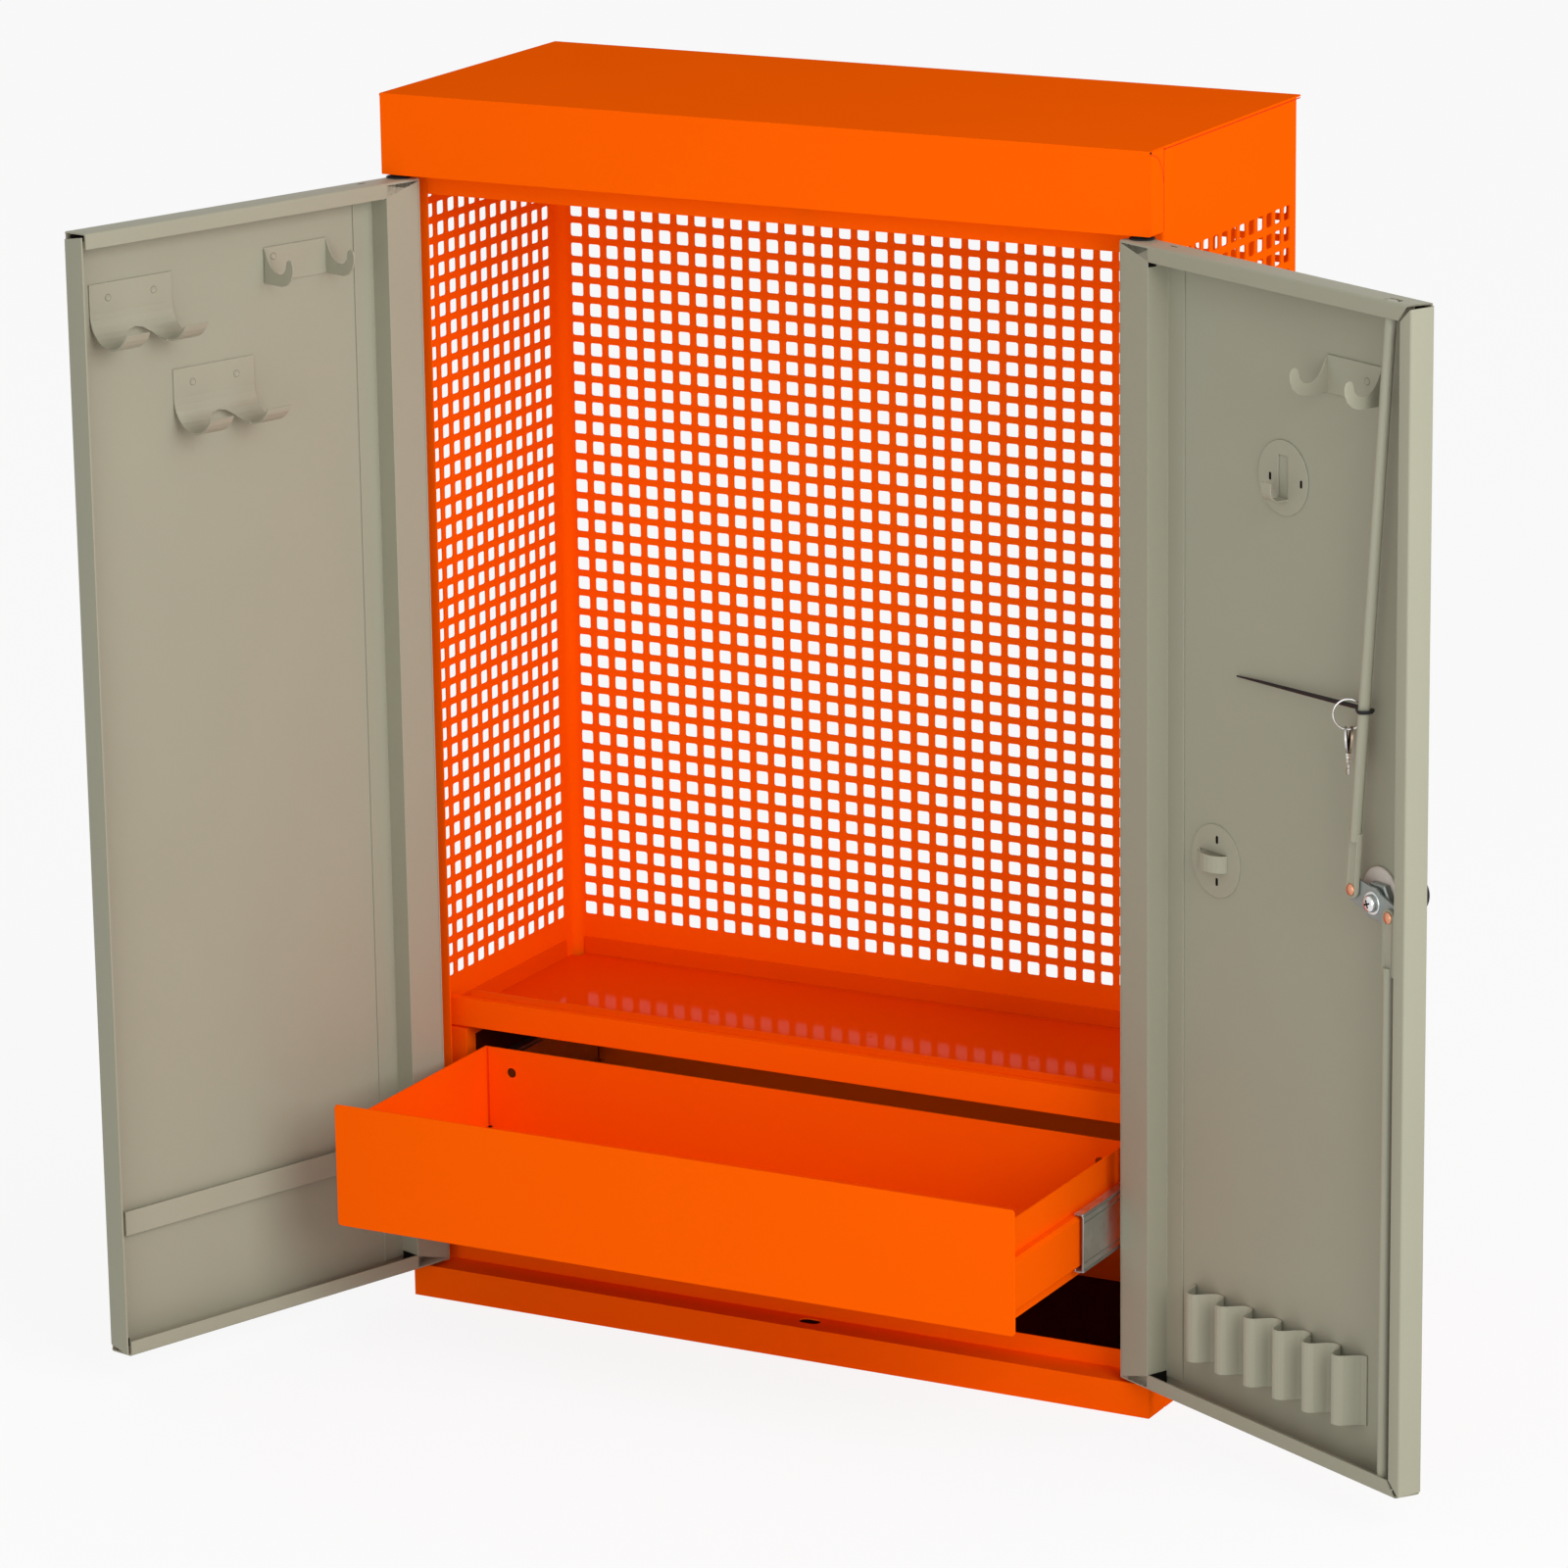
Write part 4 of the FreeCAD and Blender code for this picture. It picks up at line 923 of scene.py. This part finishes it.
class CABINET_OT_door_slits(Operator):
    """Makes the slits of the round plates and the open corners of the door pans as plates of
    painted shade
    """
    bl_idname = "cabinet.door_slits"
    bl_label = "Door slits"

    def execute(self, context):
        doors = settings().doors
        plate, lip, edge = doors.plate / MM, doors.lip / MM, doors.edge / MM
        right = DoorFace("right")
        shape = Shape()
        for along, up, wide, high in ((129.7, 698.2, 2.4, 5.4), (161.6, 697.8, 2.4, 5.4),
                                      (75.4, 435.6, 2.6, 5.6), (75.3, 405.8, 2.6, 5.6)):
            outline = oblong(-wide / 2, -high / 2, wide / 2, high / 2, 1.1)
            shape.at(right.at(along, up, plate - 0.2)).plate(outline, 0.0, 0.26)
        new_piece("plate_slits", shape, right.body, "holder_paint", "slit_dark")
        for side in ("left", "right"):
            door = DoorFace(side)
            shape = Shape()
            for level, way in ((FOOT, 1.0), (HEAD, -1.0)):
                shape.at(door.at(edge - 4.0, level + way * 5.0, lip - 14.5))
                shape.plate(oblong(-9.0, -3.2, 2.4, 3.2, 0.6), 0.0, 0.3)
                shape.at(door.at(22.0, level + way * 6.2, 0.0, door.EDGE_ON))
                shape.plate(oblong(-4.4, -4.6, lip - 1.4, 4.6, 0.5), -0.1, 0.12)
            if side == "right":
                shape.at(door.at(22.0, HEAD - 12.9, 0.0, door.EDGE_ON))
                shape.plate(oblong(5.6, -1.8, lip - 0.5, 1.8, 0.4), -0.1, 0.12)
            shape.at(door.at(35.0, HEAD, 1.0, door.FLAT_ON))
            shape.plate(oblong(-3.5, -0.6, 3.5, 0.6, 0.5), -0.2, 0.06)
            new_piece(f"door_{side}_slits", shape, door.body, "door_paint", "slit_dark")
        return {"FINISHED"}


class CABINET_OT_lock_details(Operator):
    """Makes the lock's knob, collar, nut, screw and rivet heads, and the rods' ridges and guide"""
    bl_idname = "cabinet.lock_details"
    bl_label = "Lock details"

    def execute(self, context):
        door = DoorFace("right")
        dome = [(4.1, -0.9), (4.1, 0.0), (3.9, 0.7), (3.2, 1.3), (2.1, 1.75), (1.0, 1.95),
                (0.0, 2.0)]
        for side, (pivot, end) in RODS.items():
            shape = Shape(door.at(*pivot, 8.9)).lathe(dome)
            new_piece(f"rivet_{side}", shape, f"rod_{side}", "pin_steel", "rivet_copper")
        screw = Shape(door.at(*SPINDLE, 6.4)).lathe(
            [(6.1, 0.0), (7.8, 0.0), (7.8, 0.7), (7.4, 1.0), (6.1, 1.0), (6.1, 0.0)], 32)
        screw.at(door.at(*SPINDLE, 9.4)).lathe(
            [(5.6, -1.2), (5.6, 0.1), (5.2, 0.9), (4.3, 1.5), (3.2, 1.8), (0.0, 1.85)], 32)
        new_piece("cam_screw_head", screw, "lock", "cam_zinc", "screw_bright")
        self.knob(door)
        # The screw's slot as plates of painted shade
        recess = Shape()
        for turn, deep in ((20, 0.284), (110, 0.302)):
            recess.at(door.at(*SPINDLE, 11.05) @ spin(turn, "Z"))
            recess.plate(oblong(-2.9, -0.6, 2.9, 0.6, 0.3), 0.0, deep)
        new_piece("cam_screw_recess", recess, "lock", "cam_zinc", "slit_dark")
        for side, (pivot, end) in RODS.items():
            self.ridges(door, side, Vector(pivot), Vector(end))
        guide = Shape(door.at(253.0, FOOT + 1.2, -1.0, door.FLAT_ON))
        guide.plate([(-14.0, -4.4), (13.0, -4.4), (15.0, -2.0), (15.0, 5.0), (13.0, 7.0),
                     (-11.0, 7.0), (-14.0, 4.0)], 0.0, 1.2)
        guide.at(door.at(266.5, FOOT + 2.4, 1.5, door.FLAT_ON)).lathe(
            [(6.6, 0.0), (6.6, 1.6), (6.2, 2.0), (4.9, 2.0), (4.6, 1.6), (4.6, 0.0), (6.6, 0.0)])
        new_piece("rod_guide", guide, door.body, "holder_paint")
        return {"FINISHED"}

    def knob(self, door):
        """The fluted knob on its spindle, the flanged collar and the nut on the inner face."""
        axis = door.at(*SPINDLE)
        fluted, flutes = 12.45 * MM, 24
        shape = Shape(axis).lathe(
            [(0.0, 4.2), (4.0, 4.2), (4.0, -7.3), (11.6, -7.3), (12.4, -8.2), (12.4, -11.6),
             (11.5, -12.2), (11.5, -13.2), (12.6, -13.8), (12.6, -30.6), (12.0, -33.0),
             (10.4, -34.6), (8.2, -35.2), (0.0, -35.4)], 2 * flutes)
        back = axis.inverted()
        for vert in shape.mesh.verts:
            spot = back @ vert.co
            step = round(atan2(spot.y, spot.x) / (pi / flutes))
            if spot.xy.length > fluted and step % 2:
                vert.co = axis @ Vector((spot.x * 0.96, spot.y * 0.96, spot.z))
        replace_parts(new_piece("lock_knob_fluted", shape, "lock", "knob_black"), "lock_knob")
        collar = Shape(door.at(245.5, 438.2)).lathe(
            [(0.0, -5.7), (15.9, -5.7), (16.6, -5.2), (16.6, -3.9), (15.8, -3.2), (0.0, -3.0)],
            48)
        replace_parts(new_piece("lock_collar_flanged", collar, door.body, "collar_zinc"),
                    "lock_collar")
        nut = Shape(axis).lathe(
            [(4.3, -3.0), (13.0, -3.0), (14.2, -2.2), (14.2, 1.6), (13.0, 2.6), (4.3, 2.6),
             (4.3, -3.0)], 6)
        new_piece("lock_nut", nut, door.body, "collar_zinc", "cam_zinc")

    def ridges(self, door, side, pivot, end):
        """The raised rim that pressing leaves round a rod's flat end."""
        along = (end - pivot).normalized()
        across = Vector((along.y, -along.x))
        flank = [(2.6, 37.0), (3.3, 33.0), (3.6, 6.0)]
        rim = [(-x, y) for x, y in flank] + arc(5.1, 210, 120, 8) + flank[::-1]
        spots = [(*(pivot + across * x + along * y), 8.75) for x, y in rim]
        new_piece(f"rod_ridges_{side}", Shape(door.at()).tube(spots, 0.62), f"rod_{side}",
                  "rod_paint")


class CABINET_OT_keys(Operator):
    """Makes the cable tie on the upper rod, the key ring and the two keys"""
    bl_idname = "cabinet.keys"
    bl_label = "Keys"

    def execute(self, context):
        doors = settings().doors
        door = DoorFace("right")
        self.tie(door)
        radius, wire, points = doors.ring_radius / MM, 0.55, 80
        middle = door.at(225.5, 556.5, 7.0) @ spin(50, "Y")
        coil = [(x, y, wire * cos(2 * pi * k / points))
                for k, (x, y) in enumerate(arc(radius, 0, 720, points)[:-1])]
        ring = Shape(middle).tube(coil, wire, closed=True)
        new_piece("key_ring", ring, "rod_upper", "pin_steel", "screw_bright")
        for name, lean, aside, finish in (("key_front", 4.0, -1.9, "key_nickel"),
                                          ("key_back", -5.0, 1.9, "key_brass")):
            place = middle @ shift(0.0, -radius, 0.0) @ spin(lean, "Z")
            place = place @ spin(90 - 0.8 * lean, "Y")
            self.key(name, place, aside, doors.key_length / MM, finish)
        return {"FINISHED"}

    def tie(self, door):
        """A loop round the rod, the tie's block and its long free end."""
        rod = Vector((243.2, 562.0, 7.8))
        radius, rise = 4.9, 0.6
        loop = [rod + Vector((x, x * rise / radius, y)) for x, y in circle(radius, 28)]
        shape = Shape(door.at()).tube(loop, 1.7, closed=True, flat=0.6)
        block = [(-3.2, -2.4), (1.2, -2.4), (1.9, -1.6), (1.9, 1.8), (1.2, 2.5), (-3.2, 2.5),
                 (-3.8, 1.8), (-3.8, -1.7)]
        shape.at(door.at(236.4, 562.0, 5.2)).plate(block, -2.2, 2.2)
        tail = [(238.0, 562.6, 4.6), (228.0, 562.0, 4.2), (200.0, 560.4, 2.4),
                (160.0, 558.2, -0.4), (125.0, 556.4, -2.6), (97.0, 554.8, -4.0)]
        shape.at(door.at()).tube(tail, [2.0, 1.95, 1.85, 1.6, 1.3, 0.7], steps=10, flat=0.8)
        new_piece("cable_tie", shape, "rod_upper", "bush_black")

    def key(self, name, place, aside, long, finish):
        """A flat key: a bow with a hole, a shoulder and a cut blade."""
        bow, thick, top = 8.4, 1.4, 2.2
        tip = top - long
        blade = [(-2.6, -15.4), (-3.4, -15.4), (-3.4, -16.8), (-2.4, -17.4), (-2.4, -19.2),
                 (-1.2, -20.4), (-2.2, -21.8), (-0.8, -23.6), (-2.0, -25.4), (-1.2, -26.6),
                 (-2.2, -28.0), (-1.0, tip + 0.4), (0.2, tip), (2.2, tip + 1.8), (2.2, -17.4),
                 (3.4, -16.8), (3.4, -15.4), (2.6, -15.4)]
        outlines = (arc(bow, 300, 300, 24, (0.0, top - bow)) + blade, circle(1.9, 16))
        shape = Shape(place)
        faces = []
        for height in (aside - thick / 2, aside + thick / 2):
            lines = [shape.level(outline, height) for outline in outlines]
            edges = [shape.mesh.edges.new((line[k], line[(k + 1) % len(line)]))
                     for line in lines for k in range(len(line))]
            bmesh.ops.triangle_fill(shape.mesh, use_beauty=True, edges=edges)
            faces.append(lines)
        for low, high in zip(*faces):
            bridge(shape.mesh, low, high)
        new_piece(name, shape, "rod_upper", "pin_steel", finish)


class CABINET_OT_stage(Operator):
    """Floor, room light, lamps and camera"""
    bl_idname = "cabinet.stage"
    bl_label = "Stage"

    def execute(self, context):
        stage = settings().stage
        self.floor(stage.glow)
        self.room(stage.fill)
        self.lamps(Vector(stage.aim), stage.key)
        self.camera(stage)
        return {"FINISHED"}

    def floor(self, glow):
        mesh = bmesh.new()
        bmesh.ops.create_grid(mesh, x_segments=1, y_segments=1, size=14.0)
        floor = mesh_object("floor", mesh)
        floor.location.z = CAD_LOW.z - 0.3 * MM
        shader = Shader("floor_pale")
        diffuse = shader.node("ShaderNodeBsdfDiffuse", {}, {"Color": (0.86, 0.86, 0.86, 1.0)})
        white = shader.node("ShaderNodeEmission", {}, {"Color": WHITE})
        mixed = shader.node("ShaderNodeMixShader", {},
                            {0: shader.seen() * glow, 1: diffuse, 2: white})
        shader.node("ShaderNodeOutputMaterial", {}, {"Surface": mixed})
        floor.data.materials.append(shader.material)

    def room(self, strength):
        """Dim light from all round, and plain white where the room itself is seen."""
        world = bpy.data.worlds.new("room")
        world.use_nodes = True
        nodes = Nodes(world.node_tree)
        dim, white = (nodes.node("ShaderNodeBackground", {}, {"Color": WHITE, "Strength": light})
                      for light in (strength, 1.0))
        mixed = nodes.node("ShaderNodeMixShader", {}, {0: nodes.seen(), 1: dim, 2: white})
        nodes.node("ShaderNodeOutputWorld", {}, {"Surface": mixed})
        bpy.context.scene.world = world

    def towards(self, azimuth, elevation):
        """The way to a spot that stands to the right of the front and is raised."""
        return Vector((sin(azimuth) * cos(elevation),
                       -cos(azimuth) * cos(elevation), sin(elevation)))

    def lamps(self, aim, power):
        """A large lamp at the right and a weaker one in front."""
        distance = 3.2
        for name, azimuth, elevation, size, part in (("key", 64.0, 24.0, 2.2, 1.0),
                                                     ("front", 8.0, 4.0, 1.8, 0.27)):
            way = self.towards(radians(azimuth), radians(elevation))
            data = bpy.data.lights.new(name, "AREA")
            data.size = size
            data.energy = power * part
            lamp = add_object(name, data)
            lamp.location = aim + way * distance
            lamp.rotation_euler = way.to_track_quat("Z", "Y").to_euler()

    def camera(self, stage):
        back = self.towards(stage.azimuth, stage.elevation)
        data = bpy.data.cameras.new("camera")
        data.lens = stage.lens
        data.clip_end = 60.0
        camera = add_object("camera", data)
        camera.location = Vector(stage.aim) + back * stage.distance
        upright = back.to_track_quat("Z", "Y").to_matrix().to_4x4()
        camera.rotation_euler = (upright @ Matrix.Rotation(stage.roll, 4, "Z")).to_euler()
        bpy.context.scene.camera = camera
        bpy.context.scene.view_settings.view_transform = "Standard"


class CABINET_PT_panel(Panel):
    """Lists the steps and their settings"""
    bl_idname = "CABINET_PT_panel"
    bl_label = "Tool cabinet"
    bl_space_type = "VIEW_3D"
    bl_region_type = "UI"
    bl_category = "Cabinet"

    def draw(self, context):
        for step in STEPS:
            self.layout.operator(step.bl_idname)
        cabinet = settings()
        for group in (cabinet.paint, cabinet.perforation, cabinet.doors, cabinet.stage):
            for name in group.__annotations__:
                self.layout.prop(group, name)


STEPS = (CABINET_OT_finishes, CABINET_OT_panels, CABINET_OT_door_pans,
         CABINET_OT_hook_brackets, CABINET_OT_rivets, CABINET_OT_door_slits,
         CABINET_OT_lock_details, CABINET_OT_keys, CABINET_OT_shell_seams,
         CABINET_OT_slide_edges, CABINET_OT_edges, CABINET_OT_stage)
CLASSES = (CabinetPaint, CabinetPerforation, CabinetDoors, CabinetStage, CabinetSettings, *STEPS,
           CABINET_PT_panel)


def register():
    for item in CLASSES:
        bpy.utils.register_class(item)
    bpy.types.Scene.cabinet = PointerProperty(type=CabinetSettings)


def unregister():
    del bpy.types.Scene.cabinet
    for item in reversed(CLASSES):
        bpy.utils.unregister_class(item)


def main():
    register()
    for step in STEPS:
        group, name = step.bl_idname.split(".")
        getattr(getattr(bpy.ops, group), name)()


if __name__ == "__main__":
    main()
